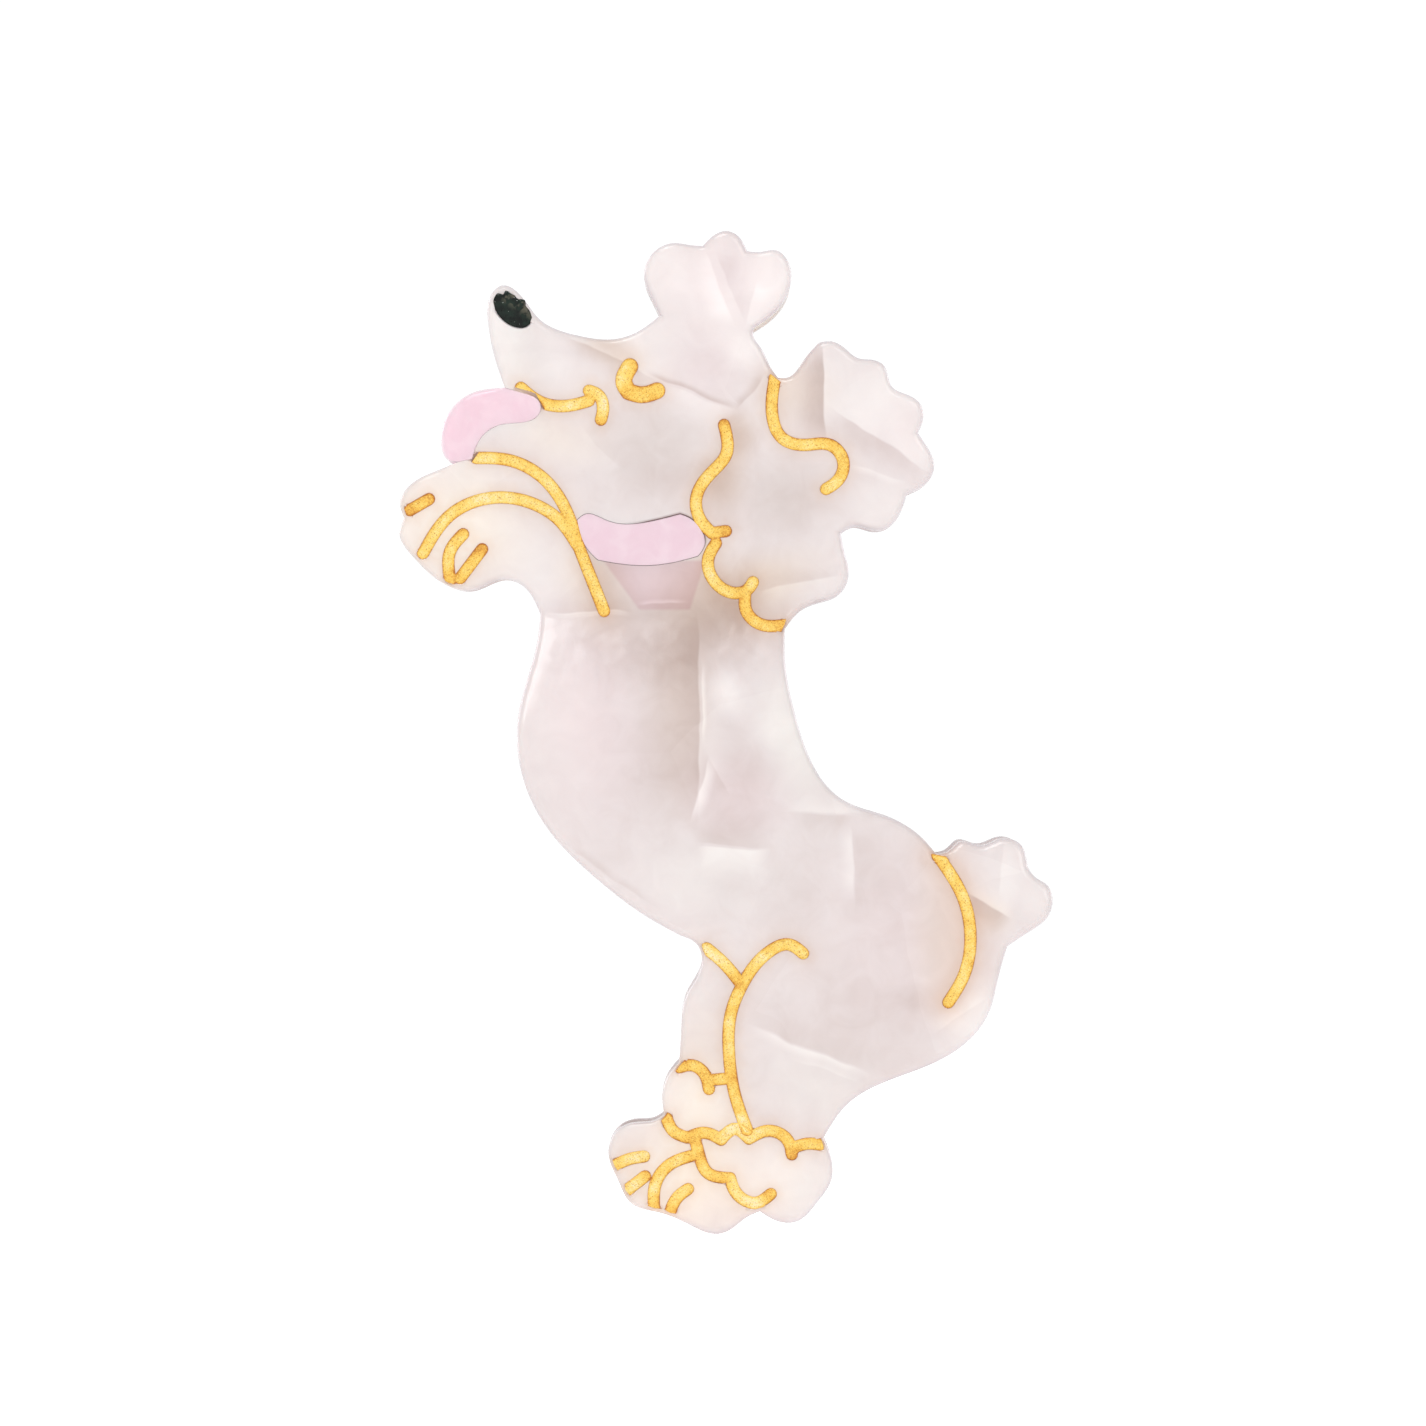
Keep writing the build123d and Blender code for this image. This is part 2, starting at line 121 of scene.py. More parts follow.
SNOUT = [(-23, 87.4), (-23.8, 91.4), (-23.5, 94), (-22.3, 95), (-20.7, 94.2), (-18.6, 91.6),
         (-14.8, 90), (-10.8, 89.7), (-8.6, 90.5), (-6.6, 92)]
KNOT_LEFT = [(-7.4, 93.7), (-8.2, 95.8), (-7.2, 98.3), (-5.2, 99.2), (-3.6, 99), (-2.3, 98.9)]
KNOT_MIDDLE = [(-1.3, 99.9), (0.1, 100.4), (1.2, 99.9), (2.1, 98.4)]
KNOT_RIGHT = [(3.4, 98.3), (4.9, 98.5), (6.2, 97.4), (6.4, 94.9), (5, 92.4), (2.8, 90.8)]
BROW = [(2.7, 90.1), (3.4, 88.9), (4.6, 86.6), (5.2, 85.8)]
EAR_FRONT = [(6.1, 85.8), (7.8, 87.6), (9.3, 89.3)]
EAR_TOP = [(10.4, 89.45), (11.8, 88.8), (13.2, 87.75), (14.6, 87.6), (15.8, 87), (16.6, 84.9),
           (18.4, 84), (19.6, 82.9), (19.6, 81.2), (19.2, 80.3)]
EAR_SIDE = [(20, 79.1), (20.8, 77.5), (20.5, 75.8), (18.1, 74.2)]
EAR_CORNER = [(17.5, 72.4), (16.3, 70.9), (14.6, 70.6), (12.8, 71), (11.5, 70.3)]
EAR_TIP = [(11.8, 68.6), (12.3, 66.3), (11.4, 64.2), (8.5, 63.1), (7.2, 62.3), (5.9, 60.7)]
BACK = [(5.9, 57.6), (6.8, 52.6), (8.6, 47.3), (10.9, 44.2), (13.4, 42.8), (16.5, 41.8), (19.4, 40),
        (21, 38.2)]
TAIL_TOP = [(22.2, 38.5), (23.4, 39.5), (25.3, 39.1), (27.6, 39.8), (29.4, 39.2), (30.1, 37)]
TAIL_TIP = [(30.9, 35.9), (32, 35.2), (32.6, 33.9), (32.1, 31.9), (30.2, 30.4), (28.1, 29)]
RUMP = [(27.2, 25.9), (26.2, 22.2), (23.6, 19), (19.6, 16.8), (15.2, 15.1), (12.2, 13.2), (9.8, 9.8)]
HEEL = [(10.5, 7.9), (10.6, 5.6), (9, 3), (7.2, 1.3), (5.5, 1.2), (3.4, 2.3)]
SOLE = [(2.1, 1.7), (0.4, 0.4), (-1, 0), (-3.6, 0.9), (-6.8, 2.2), (-9.5, 3.1), (-10.8, 5.4),
        (-11.8, 8.4), (-11, 10.4), (-9.2, 11.3), (-7.2, 11.5), (-6.2, 12.1)]
ANKLE = [(-6.4, 14.2), (-5.7, 16.2), (-4.7, 17.4)]
SHIN = [(-4.5, 20.6), (-4, 24), (-2.4, 27.4), (-2.9, 29.2), (-4.6, 30.1)]
BELLY = [(-8, 32), (-13, 35.8), (-18, 41), (-20.5, 46.6), (-20.8, 51.9), (-18.9, 59.5),
         (-18.6, 62.2)]
PAW = [(-20.1, 64.8), (-22.1, 65.7), (-25.4, 64.6), (-28.7, 65.5), (-31.4, 68), (-32.7, 70.3),
       (-32.2, 71.8)]
PAW_TOP = [(-32.6, 73.4), (-31.6, 75.1), (-29, 76.5), (-26.8, 77.4)]
TONGUE_START = (-22.1, 84.8)
TONGUE_ROOT = (-26.8, 77.4)
TONGUE_OUTER = [(-27.8, 77.6), (-28.5, 79.6), (-27.8, 82.2), (-25.6, 84.2), TONGUE_START]
TONGUE_INNER = [(-20.4, 84.3), (-18.6, 83.3), (-18.6, 82.3), (-20, 81.4), (-22.6, 81.1),
                (-24.5, 79.8), (-25.4, 77.7)]
OUTLINE = [SNOUT, KNOT_LEFT, KNOT_MIDDLE, KNOT_RIGHT, BROW, EAR_FRONT, EAR_TOP, EAR_SIDE, EAR_CORNER,
           EAR_TIP, BACK, TAIL_TOP, TAIL_TIP, RUMP, HEEL, SOLE, ANKLE, SHIN, BELLY, PAW, PAW_TOP]
COLLAR_START = (-14.9, 71.6)
COLLAR = [[(-14.1, 72.2), (-12, 71.6), (-9.6, 71.2), (-7, 71.6), (-4.6, 72.2)],
          [(-3.6, 71.8), (-2.2, 70.1)], [(-2.1, 69.2), (-2.8, 68)],
          [(-5.6, 67.3), (-9.4, 67.1), (-12.8, 67.6)], [(-13.8, 68.6), COLLAR_START]]
HINGE_PAD = [(-11.2, 67), (-2.8, 67), (-4, 63.2), (-8.4, 63.2)]
NOSE_MIDDLE = (-21.3, 92.6)
NOSE_SIZE = (2.25, 1.45)
NOSE_TURN = math.radians(-42)

# Engraved lines of each group, with the groove's width
GOLD = {
    "gold_mouth": (STROKE, [
        [(-20.5, 84.8), (-18.6, 83.4), (-15.8, 83), (-13.7, 83.5)],
        [(-13.7, 84.5), (-12.8, 84.1), (-12.3, 83.1), (-12.5, 81.6)]]),
    "gold_eye": (EYE_STROKE, [
        [(-9.6, 86.9), (-10.2, 85.3), (-9.7, 84.4)], [(-9.7, 84.4), (-8.4, 84.1), (-6.9, 84.5)]]),
    "gold_ear": (STROKE, [
        [(-0.2, 81.1), (0, 78.1), (-1.5, 76.3), (-3, 73.6), (-2.6, 71.7), (-1.4, 70.3)],
        [(-1.4, 70.3), (0, 70.5)],
        [(-1, 69.3), (-1.8, 67.6), (-1, 65.3), (1.1, 64.3), (2.1, 64.6), (2.7, 65.4)],
        [(1.9, 64), (2, 62.6), (3.4, 61.2), (5.8, 61.1)],
        [(4.9, 85.8), (4.6, 82.3), (5.6, 79.8), (7.9, 79.1), (10.4, 79.1), (11.7, 77.6), (11.3, 75.7),
         (10, 74.7)]]),
    "gold_paw": (STROKE, [
        [(-25, 77.8), (-21.8, 77.6), (-18.3, 75.8), (-16, 72.6), (-14.8, 69.1)],
        [(-14.8, 69.1), (-12.2, 62.5)],
        [(-30.3, 68.3), (-27.7, 72), (-23.6, 73.8), (-19.2, 73.2), (-16.6, 71.5), (-15, 69.3)],
        [(-31.6, 72.6), (-29.7, 73.7)],
        [(-27.6, 65.6), (-27.6, 68.5), (-26.3, 70.2)],
        [(-26.6, 65.8), (-24.4, 68.7)]]),
    "gold_tail": (STROKE, [[(21.1, 38.1), (23.6, 34), (24.4, 29.9), (23.7, 26), (22.2, 23.4)]]),
    "gold_leg": (STROKE, [
        [(-1.9, 28.8), (-0.1, 27.2), (1.3, 25.5)],
        [(7.7, 28.3), (6.3, 29.2), (4.2, 28.4), (1.7, 25.3), (0.5, 22.3), (0.3, 18.3), (0.9, 14.1),
         (2.1, 10.6)],
        [(-4.6, 16.9), (-3.4, 17.1), (-2.2, 16.3), (-1.7, 14.7)],
        [(-1.6, 15.6), (0.5, 15.8)]]),
    "gold_foot": (STROKE, [
        [(-5.9, 11.7), (-5.3, 10.5), (-3.8, 9.8)],
        [(-3.8, 9.8), (-2.2, 10.3), (-0.5, 9.6)],
        [(-0.5, 9.6), (0.9, 10.7), (2.3, 9.7)],
        [(2.3, 9.7), (4.4, 10.5), (6.2, 9.5), (6.6, 8.1)],
        [(6.8, 8.8), (8.2, 9.2), (9.4, 9.1)],
        [(-3.1, 9.6), (-2.7, 8.1), (-1.9, 6.3), (0.4, 5.7)],
        [(0.4, 5.7), (1.1, 4.1), (3, 3.2), (4.5, 4.1)],
        [(-3.3, 8), (-5.6, 7.1), (-7, 5.3), (-7.2, 2.6)],
        [(-11.1, 7), (-9.8, 7.6), (-8.2, 7.9)],
        [(-10, 4.4), (-8.1, 5.9)],
        [(-5.6, 2.3), (-4.9, 3.7), (-3.8, 4.6)]]),
}


# ---- plane drawing

def spline(points, step=STEP):
    """Evenly spaced points along the natural cubic spline through some points."""
    pts = np.array(points, float)
    if len(pts) == 2:
        count = max(2, int(np.linalg.norm(pts[1] - pts[0]) / step) + 1)
        return pts[0] + np.linspace(0, 1, count)[:, None] * (pts[1] - pts[0])
    chord = np.linalg.norm(np.diff(pts, axis=0), axis=1)
    knots = np.concatenate([[0], np.cumsum(chord)])
    n = len(pts)
    system = np.zeros((n, n))
    right = np.zeros((n, 2))
    system[0, 0] = system[-1, -1] = 1
    for i in range(1, n - 1):
        system[i, i - 1] = chord[i - 1]
        system[i, i] = 2 * (chord[i - 1] + chord[i])
        system[i, i + 1] = chord[i]
        right[i] = 6 * ((pts[i + 1] - pts[i]) / chord[i] - (pts[i] - pts[i - 1]) / chord[i - 1])
    bend = np.linalg.solve(system, right)
    count = max(3, int(knots[-1] / step) + 1)
    at = np.linspace(0, knots[-1], count)
    span = np.clip(np.searchsorted(knots, at, side="right") - 1, 0, n - 2)
    h = chord[span][:, None]
    after = (at - knots[span])[:, None]
    before = h - after
    return (bend[span] * before ** 3 + bend[span + 1] * after ** 3) / (6 * h) \
        + (pts[span] / h - bend[span] * h / 6) * before \
        + (pts[span + 1] / h - bend[span + 1] * h / 6) * after


def closed_loop(start, stretches, step=STEP):
    """Points round a closed outline, counter-clockwise, with no point twice."""
    loop = []
    last = start
    for points in stretches:
        loop.extend(spline([last] + points, step)[:-1])
        last = points[-1]
    loop = np.array(loop)
    x, z = loop.T
    if np.sum(x * np.roll(z, -1) - np.roll(x, -1) * z) < 0:
        loop = loop[::-1]
    return loop


def inward(loop):
    """Direction from each point of a loop into its inside, longer at corners so that edges stay parallel."""
    before = loop - np.roll(loop, 1, axis=0)
    after = np.roll(loop, -1, axis=0) - loop
    normal_a = np.stack([-before[:, 1], before[:, 0]], 1) / np.linalg.norm(before, axis=1)[:, None]
    normal_b = np.stack([-after[:, 1], after[:, 0]], 1) / np.linalg.norm(after, axis=1)[:, None]
    middle = normal_a + normal_b
    middle /= np.maximum(np.linalg.norm(middle, axis=1), 1e-9)[:, None]
    lengthen = 1 / np.maximum(np.sum(middle * normal_a, axis=1), 0.6)
    return middle * lengthen[:, None]


def in_parts(points, size=1500):
    """Slices that cut a long list of points into shorter ones."""
    return [slice(first, first + size) for first in range(0, len(points), size)]


def distance_to(lines, points):
    """Distance of each point to the nearest of some polylines."""
    start = np.vstack([line[:-1] for line in lines])
    run = np.vstack([np.diff(line, axis=0) for line in lines])
    length2 = np.maximum(np.sum(run ** 2, axis=1), 1e-12)
    best = np.zeros(len(points))
    for part in in_parts(points):
        offset = points[part][:, None, :] - start
        share = np.clip(np.sum(offset * run, axis=2) / length2, 0, 1)
        best[part] = np.sqrt(np.min(np.sum((offset - share[..., None] * run) ** 2, axis=2), axis=1))
    return best


def inside(loop, points):
    """Which points lie inside a closed loop, by counting crossings."""
    xa, za = loop.T
    xb, zb = np.roll(loop, -1, axis=0).T
    rise = np.where(zb == za, 1e-12, zb - za)
    result = np.zeros(len(points), bool)
    for part in in_parts(points):
        x, z = points[part].T[:, :, None]
        crosses = ((za > z) != (zb > z)) & (x < (xb - xa) * (z - za) / rise + xa)
        result[part] = np.sum(crosses, axis=1) % 2 == 1
    return result


def signed(loop, points):
    """Distance to a closed loop, positive inside it."""
    far = distance_to([np.vstack([loop, loop[:1]])], points)
    return np.where(inside(loop, points), far, -far)


# ---- the sheet's bends

def mid_depth(z, offset):
    """Depth of the sheet's face at an offset from its middle: belly arc, neck bend, straight grip."""
    half = math.hypot(NECK_DEPTH - TIP_DEPTH, NECK_Z) / 2
    rise = math.sqrt(BELLY_RADIUS ** 2 - half ** 2)
    across = ((NECK_DEPTH - TIP_DEPTH) / (2 * half), NECK_Z / (2 * half))
    depth_c = (NECK_DEPTH + TIP_DEPTH) / 2 - across[1] * rise
    height_c = NECK_Z / 2 + across[0] * rise
    reach = np.maximum((BELLY_RADIUS + offset) ** 2 - (z - height_c) ** 2, 1.0)
    belly = depth_c + np.sqrt(reach)
    grip = NECK_DEPTH + offset / math.cos(GRIP_TILT) + (z - NECK_Z) * math.tan(GRIP_TILT)
    return (belly + grip + np.sqrt((belly - grip) ** 2 + NECK_BLEND ** 2)) / 2


def bend(flat, side):
    """Flat (x, offset, z) points to their place in the bent sheet. Side is -1 for the front jaw."""
    out = np.empty_like(flat)
    out[:, 0] = flat[:, 0]
    out[:, 1] = side * mid_depth(flat[:, 2], flat[:, 1])
    out[:, 2] = flat[:, 2]
    return out


# ---- meshes

def make_object(name, points, faces, marks, material, sharp):
    """Object from points in mm, with its faces turned outwards and its marks."""
    mesh = bpy.data.meshes.new(name)
    mesh.from_pydata([tuple(p * MM) for p in points], [], faces)
    for mark, values in marks.items():
        layer = mesh.attributes.new(mark, "FLOAT", "POINT")
        layer.data.foreach_set("value", np.asarray(values, np.float32))
    bm = bmesh.new()
    bm.from_mesh(mesh)
    bmesh.ops.remove_doubles(bm, verts=bm.verts, dist=1e-7)
    bmesh.ops.delete(bm, geom=[v for v in bm.verts if not v.link_faces], context="VERTS")
    bmesh.ops.recalc_face_normals(bm, faces=bm.faces)
    bm.to_mesh(mesh)
    bm.free()
    mesh.polygons.foreach_set("use_smooth", [True] * len(mesh.polygons))
    mesh.set_sharp_from_angle(angle=math.radians(sharp))
    mesh.materials.append(material)
    piece = bpy.data.objects.new(name, mesh)
    bpy.context.scene.collection.objects.link(piece)
    return piece


def free_grid(loop, margin):
    """Staggered grid of points inside a loop, clear of its edge."""
    low, high = loop.min(0), loop.max(0)
    points = [(x + (row % 2) * GRID / 2, z)
              for row, z in enumerate(np.arange(low[1], high[1], GRID * 0.866))
              for x in np.arange(low[0], high[0], GRID)]
    points = np.array(points)
    return points[signed(loop, points) > margin]


def triangulate(loop, free, tracks):
    """Delaunay triangles of a loop's inside through free points and tracks, as (points, triangles)."""
    coords = [loop]
    edges = [(i, (i + 1) % len(loop)) for i in range(len(loop))]
    base = len(loop)
    for track in tracks:
        coords.append(track)
        edges.extend((base + i, base + i + 1) for i in range(len(track) - 1))
        base += len(track)
    coords.append(free)
    result = delaunay_2d_cdt([Vector(c) for c in np.vstack(coords)], edges, [], 1, 1e-5, False)
    points = np.array([tuple(v) for v in result[0]])
    triangles = np.array(result[2])
    return points, triangles[inside(loop, points[triangles].mean(axis=1))]


def rim_rings(loop, radius, face, way, steps=5):
    """Rings from the edge wall to the face, rounded by a radius at each point, as (points, offsets)."""
    direction = inward(loop)
    rings = []
    for k in range(steps + 1):
        angle = math.pi / 2 * k / steps
        ring = loop + direction * (radius * (1 - math.cos(angle)))[:, None]
        rings.append((ring, face - way * radius * (1 - math.sin(angle))))
    return rings


def ring_faces(rings, count, closed=()):
    """Faces between rings of points that follow each other, with the closed rings filled."""
    faces = []
    for a in range(0, (rings - 1) * count, count):
        for i in range(count):
            j = (i + 1) % count
            faces.append((a + i, a + j, a + count + j, a + count + i))
    for ring in closed:
        faces.append(tuple(range(ring * count, (ring + 1) * count)))
    return faces


def plate(loop, low, high, rim_low, rim_high, cut=None, tracks=(), marks=None):
    """Flat shape of a sheet piece with rounded rims between two offsets.

    cut gives how deep the outer face is cut at some points, tracks are lines that the cuts follow, and
    marks gives named values at some points of the outer side.
    """
    count = len(loop)
    rim_low = np.broadcast_to(np.asarray(rim_low, float), count)
    rim_high = np.broadcast_to(np.asarray(rim_high, float), count)
    flats, offsets, faces = [], [], []

    def add(flat, level):
        base = sum(len(f) for f in flats)
        flats.append(flat)
        offsets.append(np.broadcast_to(level, len(flat)))
        return base

    lower = rim_rings(loop, rim_low, low, -1)
    upper = rim_rings(loop, rim_high, high, 1)
    if cut is not None:
        upper = [(ring, np.minimum(level, high - cut(ring))) for ring, level in upper]
    for ring in lower[::-1] + upper:
        add(*ring)
    faces.extend(ring_faces(len(lower) + len(upper), count))

    for ring, level, lines in ((lower[-1][0], low, ()), (upper[-1][0], high, tracks)):
        free = free_grid(ring, FACE_MARGIN)
        if len(lines):
            near = distance_to(lines, free)
            free = free[near > TRACK_MARGIN]
        flat, triangles = triangulate(ring, free, lines)
        if cut is not None and level == high:
            level = high - cut(flat)
        base = add(flat, level)
        faces.extend(tuple(base + int(i) for i in t) for t in triangles)
    flat = np.vstack(flats)
    offset = np.concatenate(offsets)
    values = {} if marks is None else marks(flat, offset)
    return np.column_stack([flat[:, 0], offset, flat[:, 1]]), faces, values


# ---- engraving

# Polylines and the half width of each group of engraved lines
GROUPS = {name: ([spline(points, 0.3) for points in lines], width / 2)
          for name, (width, lines) in GOLD.items()}


def round_track(line, radius, step=0.34):
    """Closed track of points at a distance round a polyline, with half circles at its ends."""
    along = np.gradient(line, axis=0)
    along /= np.linalg.norm(along, axis=1)[:, None]
    left = np.stack([-along[:, 1], along[:, 0]], 1)
    turns = np.linspace(0, math.pi, max(5, int(math.pi * radius / step) + 2))[1:-1]

    def cap(end, heading, start_side):
        return [end + radius * (math.cos(t) * start_side + math.sin(t) * heading) for t in turns]

    track = list(line + radius * left)
    track += cap(line[-1], along[-1], left[-1])
    track += list(line[::-1] - radius * left[::-1])
    track += cap(line[0], -along[0], -left[0])
    track.append(track[0])
    return np.array(track)


def groove_share(points):
    """Distance to the nearest engraved line of all, as a share of its half width."""
    return np.min([distance_to(lines, points) / half for lines, half in GROUPS.values()], axis=0)


def groove_depth(points):
    """Depth of the engraved grooves at some points of the face: a round-bottomed cut."""
    share = np.clip(groove_share(points), 0, 1)
    return GROOVE_DEPTH * np.sqrt(np.maximum(1 - share ** 2.4, 0))


def kept_runs(tracks, keep):
    """The unbroken runs of the kept points of some tracks, where keep tests all their points at once."""
    good = keep(np.vstack(tracks))
    runs = []
    first = 0
    for track in tracks:
        flags = good[first:first + len(track)]
        first += len(track)
        cuts = np.flatnonzero(np.diff(flags.astype(int))) + 1
        for run, flag in zip(np.split(track, cuts), np.split(flags, cuts)):
            if flag[0] and len(run) > 1:
                runs.append(run)
    return runs


def engraving_tracks(loop):
    """Tracks along every groove, kept off each other's grooves and off the rim."""
    tracks = []
    for share in (1.25, 1.06, 1.0, 0.9, 0.66, 0.33):
        rings = [round_track(line, half * share) for lines, half in GROUPS.values() for line in lines]
        tracks += kept_runs(rings, lambda p: (groove_share(p) > share - 0.02)
                            & (signed(loop, p) > TRACK_INSIDE))
    middles = [line for lines, half in GROUPS.values() for line in lines]
    return tracks + kept_runs(middles, lambda p: signed(loop, p) > TRACK_INSIDE)


def paint(group, loop):
    """Flat shape of the paint that lies in the grooves of one group, as a closed lens."""
    lines, half = GROUPS[group]
    tracks = []
    for share in (PAINT_WIDTH, 0.9, 0.78, 0.5, 0.2):
        rings = [round_track(line, half * share, 0.28) for line in lines]
        tracks += kept_runs(rings, lambda p: (distance_to(lines, p) > (share - 0.02) * half)
                            & (signed(loop, p) > PAINT_END))
    points = np.vstack(tracks)
    result = delaunay_2d_cdt([Vector(p) for p in points], [], [], 0, 1e-5, False)
    flat = np.array([tuple(v) for v in result[0]])
    triangles = np.array(result[2])
    corners = flat[triangles]
    middle = corners.mean(axis=1)
    longest = np.max(np.linalg.norm(corners - np.roll(corners, 1, axis=1), axis=2), axis=1)
    keep = (distance_to(lines, middle) < half * PAINT_WIDTH) & (longest < PAINT_SPAN)
    triangles = triangles[keep & (signed(loop, middle) > 0)]
    share = np.clip(distance_to(lines, flat) / half, 0, 1)
    top = HALF - PAINT_LEVEL * (1 - 0.75 * share ** 3) - 0.1 * share ** 6
    count = len(flat)
    offset = np.concatenate([top, np.full(count, HALF - GROOVE_DEPTH - 0.05)])
    both = np.vstack([flat, flat])
    faces = [tuple(int(i) for i in t) for t in triangles]
    faces += [tuple(int(i) + count for i in t[::-1]) for t in triangles]
    sides = {(int(a), int(b)) for t in triangles for a, b in zip(t, np.roll(t, -1))}
    faces += [(b, a, a + count, b + count) for a, b in sides if (b, a) not in sides]
    ends = np.array([line[i] for line in lines for i in (0, -1)])
    to_end = np.linalg.norm(both[:, None] - ends, axis=2)
    # Paint pools at some ends of the grooves, more at one than at another
    pooled = 0.5 + 0.5 * np.sin(ends[:, 0] * 2.7 + ends[:, 1] * 1.9)
    marks = {"rim": np.concatenate([share, share]) ** 5,
             "pool": np.max(np.exp(-(to_end / 1.1) ** 2) * pooled, axis=1)}
    return np.column_stack([both[:, 0], offset, both[:, 1]]), faces, marks


# ---- materials

def linear(red, green, blue):
    """Linear colour from sRGB in 0 to 255."""
    def one(value):
        value /= 255
        return value / 12.92 if value <= 0.04045 else ((value + 0.055) / 1.055) ** 2.4
    return (one(red), one(green), one(blue), 1.0)


class Tree:
    """Short ways to add nodes to a node tree."""

    def __init__(self, tree):
        self.nodes = tree.nodes
        self.links = tree.links

    @classmethod
    def of_material(cls, name):
        """Tree of a new material, with its shader."""
        material = bpy.data.materials.new(name)
        material.use_nodes = True
        tree = cls(material.node_tree)
        tree.material = material
        tree.shader = tree.nodes["Principled BSDF"]
        return tree

    def plug(self, value, socket):
        if hasattr(value, "is_output"):
            self.links.new(value, socket)
        else:
            socket.default_value = value

    def feed(self, node, sockets):
        """Outputs of a node once values or other nodes' outputs are plugged into its sockets."""
        for name, value in sockets.items():
            self.plug(value, node.inputs[name])
        return node.outputs

    def wire(self, sockets):
        """Feeds the material's shader."""
        self.feed(self.shader, sockets)

    def add(self, kind, sockets):
        """Outputs of a new node of a kind."""
        return self.feed(self.nodes.new("ShaderNode" + kind), sockets)

    def maths(self, kind, *values, clamp=False):
        node = self.nodes.new("ShaderNodeMath")
        node.operation = kind
        node.use_clamp = clamp
        for value, socket in zip(values, node.inputs):
            self.plug(value, socket)
        return node.outputs[0]

    def vector(self, kind, *values):
        node = self.nodes.new("ShaderNodeVectorMath")
        node.operation = kind
        for value, socket in zip(values, node.inputs):
            self.plug(value, socket)
        return node.outputs["Value" if kind == "DOT_PRODUCT" else "Vector"]

    def times(self, a, b):
        return self.maths("MULTIPLY", a, b)

    def dot(self, a, b):
        return self.vector("DOT_PRODUCT", a, b)

    def ranged(self, value, low, high, out_low=0.0, out_high=1.0, kind="SMOOTHSTEP"):
        node = self.nodes.new("ShaderNodeMapRange")
        node.interpolation_type = kind
        for v, s in zip((value, low, high, out_low, out_high), node.inputs):
            self.plug(v, s)
        return node.outputs["Result"]

    def mix(self, share, a, b, kind="MIX"):
        node = self.nodes.new("ShaderNodeMix")
        node.data_type = "RGBA"
        node.blend_type = kind
        self.plug(share, node.inputs[0])
        self.plug(a, node.inputs[6])
        self.plug(b, node.inputs[7])
        return node.outputs[2]

    def use(self, group, *values):
        """Output of a node group fed with some values."""
        node = self.nodes.new("ShaderNodeGroup")
        node.node_tree = group
        for value, socket in zip(values, node.inputs):
            self.plug(value, socket)
        return node.outputs[0]

    def mark(self, name):
        """Value of a mesh's mark."""
        node = self.nodes.new("ShaderNodeAttribute")
        node.attribute_name = name
        return node.outputs["Fac"]

    def facing(self):
        """How squarely the surface faces front or back, from 0 on a side to 1."""
        return self.maths("ABSOLUTE", self.dot(self.add("TexCoord", {})["Normal"], (0, 1, 0)))

    def place(self):
        """Object coordinates in millimetres."""
        return self.vector("MULTIPLY", self.add("TexCoord", {})["Object"], (1000, 1000, 1000))

    def noise(self, where, scale, detail=2.0, rough=0.5, distortion=0.0):
        return self.add("TexNoise", {"Vector": where, "Scale": scale, "Detail": detail, "Roughness": rough,
                                     "Distortion": distortion})

    def cells(self, where, scale):
        return self.add("TexVoronoi", {"Vector": where, "Scale": scale})

    def ramp(self, value, stops):
        node = self.nodes.new("ShaderNodeValToRGB")
        while len(node.color_ramp.elements) < len(stops):
            node.color_ramp.elements.new(0.5)
        for element, (at, colour) in zip(node.color_ramp.elements, stops):
            element.position = at
            element.color = colour
        self.plug(value, node.inputs["Fac"])
        return node.outputs["Color"]

    def bump(self, height, strength, distance, base=None):
        sockets = {"Strength": strength, "Distance": distance, "Height": height}
        if base is not None:
            sockets["Normal"] = base
        return self.add("Bump", sockets)["Normal"]


PEARL_TURN = (-1.0, 98.0)  # twice the middle about which the rear jaw's pearl is turned round
PEARL_MIDDLE = 0.5       # tone of plain pearl, from 0 in its darkest depths to 1
PEARL_TONES = [(0.0, linear(186, 166, 160)), (0.25, linear(209, 194, 191)), (0.5, linear(226, 216, 215)),
               (0.75, linear(239, 232, 230)), (1.0, linear(250, 246, 244))]
WARM_TINT = linear(255, 250, 240)
ROSE_TINT = linear(255, 248, 250)
GREY_TINT = linear(250, 252, 250)
PAD_TINT = linear(244, 229, 234)
# Painted shade on the sheet's rounded rim, where it faces sideways
EDGE_SHADE_TINT = linear(243, 242, 247)
# Painted amber glow and shade of the gold paint's light scattered into the acetate beside it
GOLD_GLOW_TINT = linear(236, 176, 100)
GLUE_TINT = linear(120, 70, 66)
GOLD_TONES = [(0.0, linear(184, 110, 34)), (0.16, linear(222, 156, 58)), (0.36, linear(244, 198, 88)),
              (0.54, linear(250, 214, 112)), (0.72, linear(251, 226, 148)), (0.92, linear(250, 236, 196))]
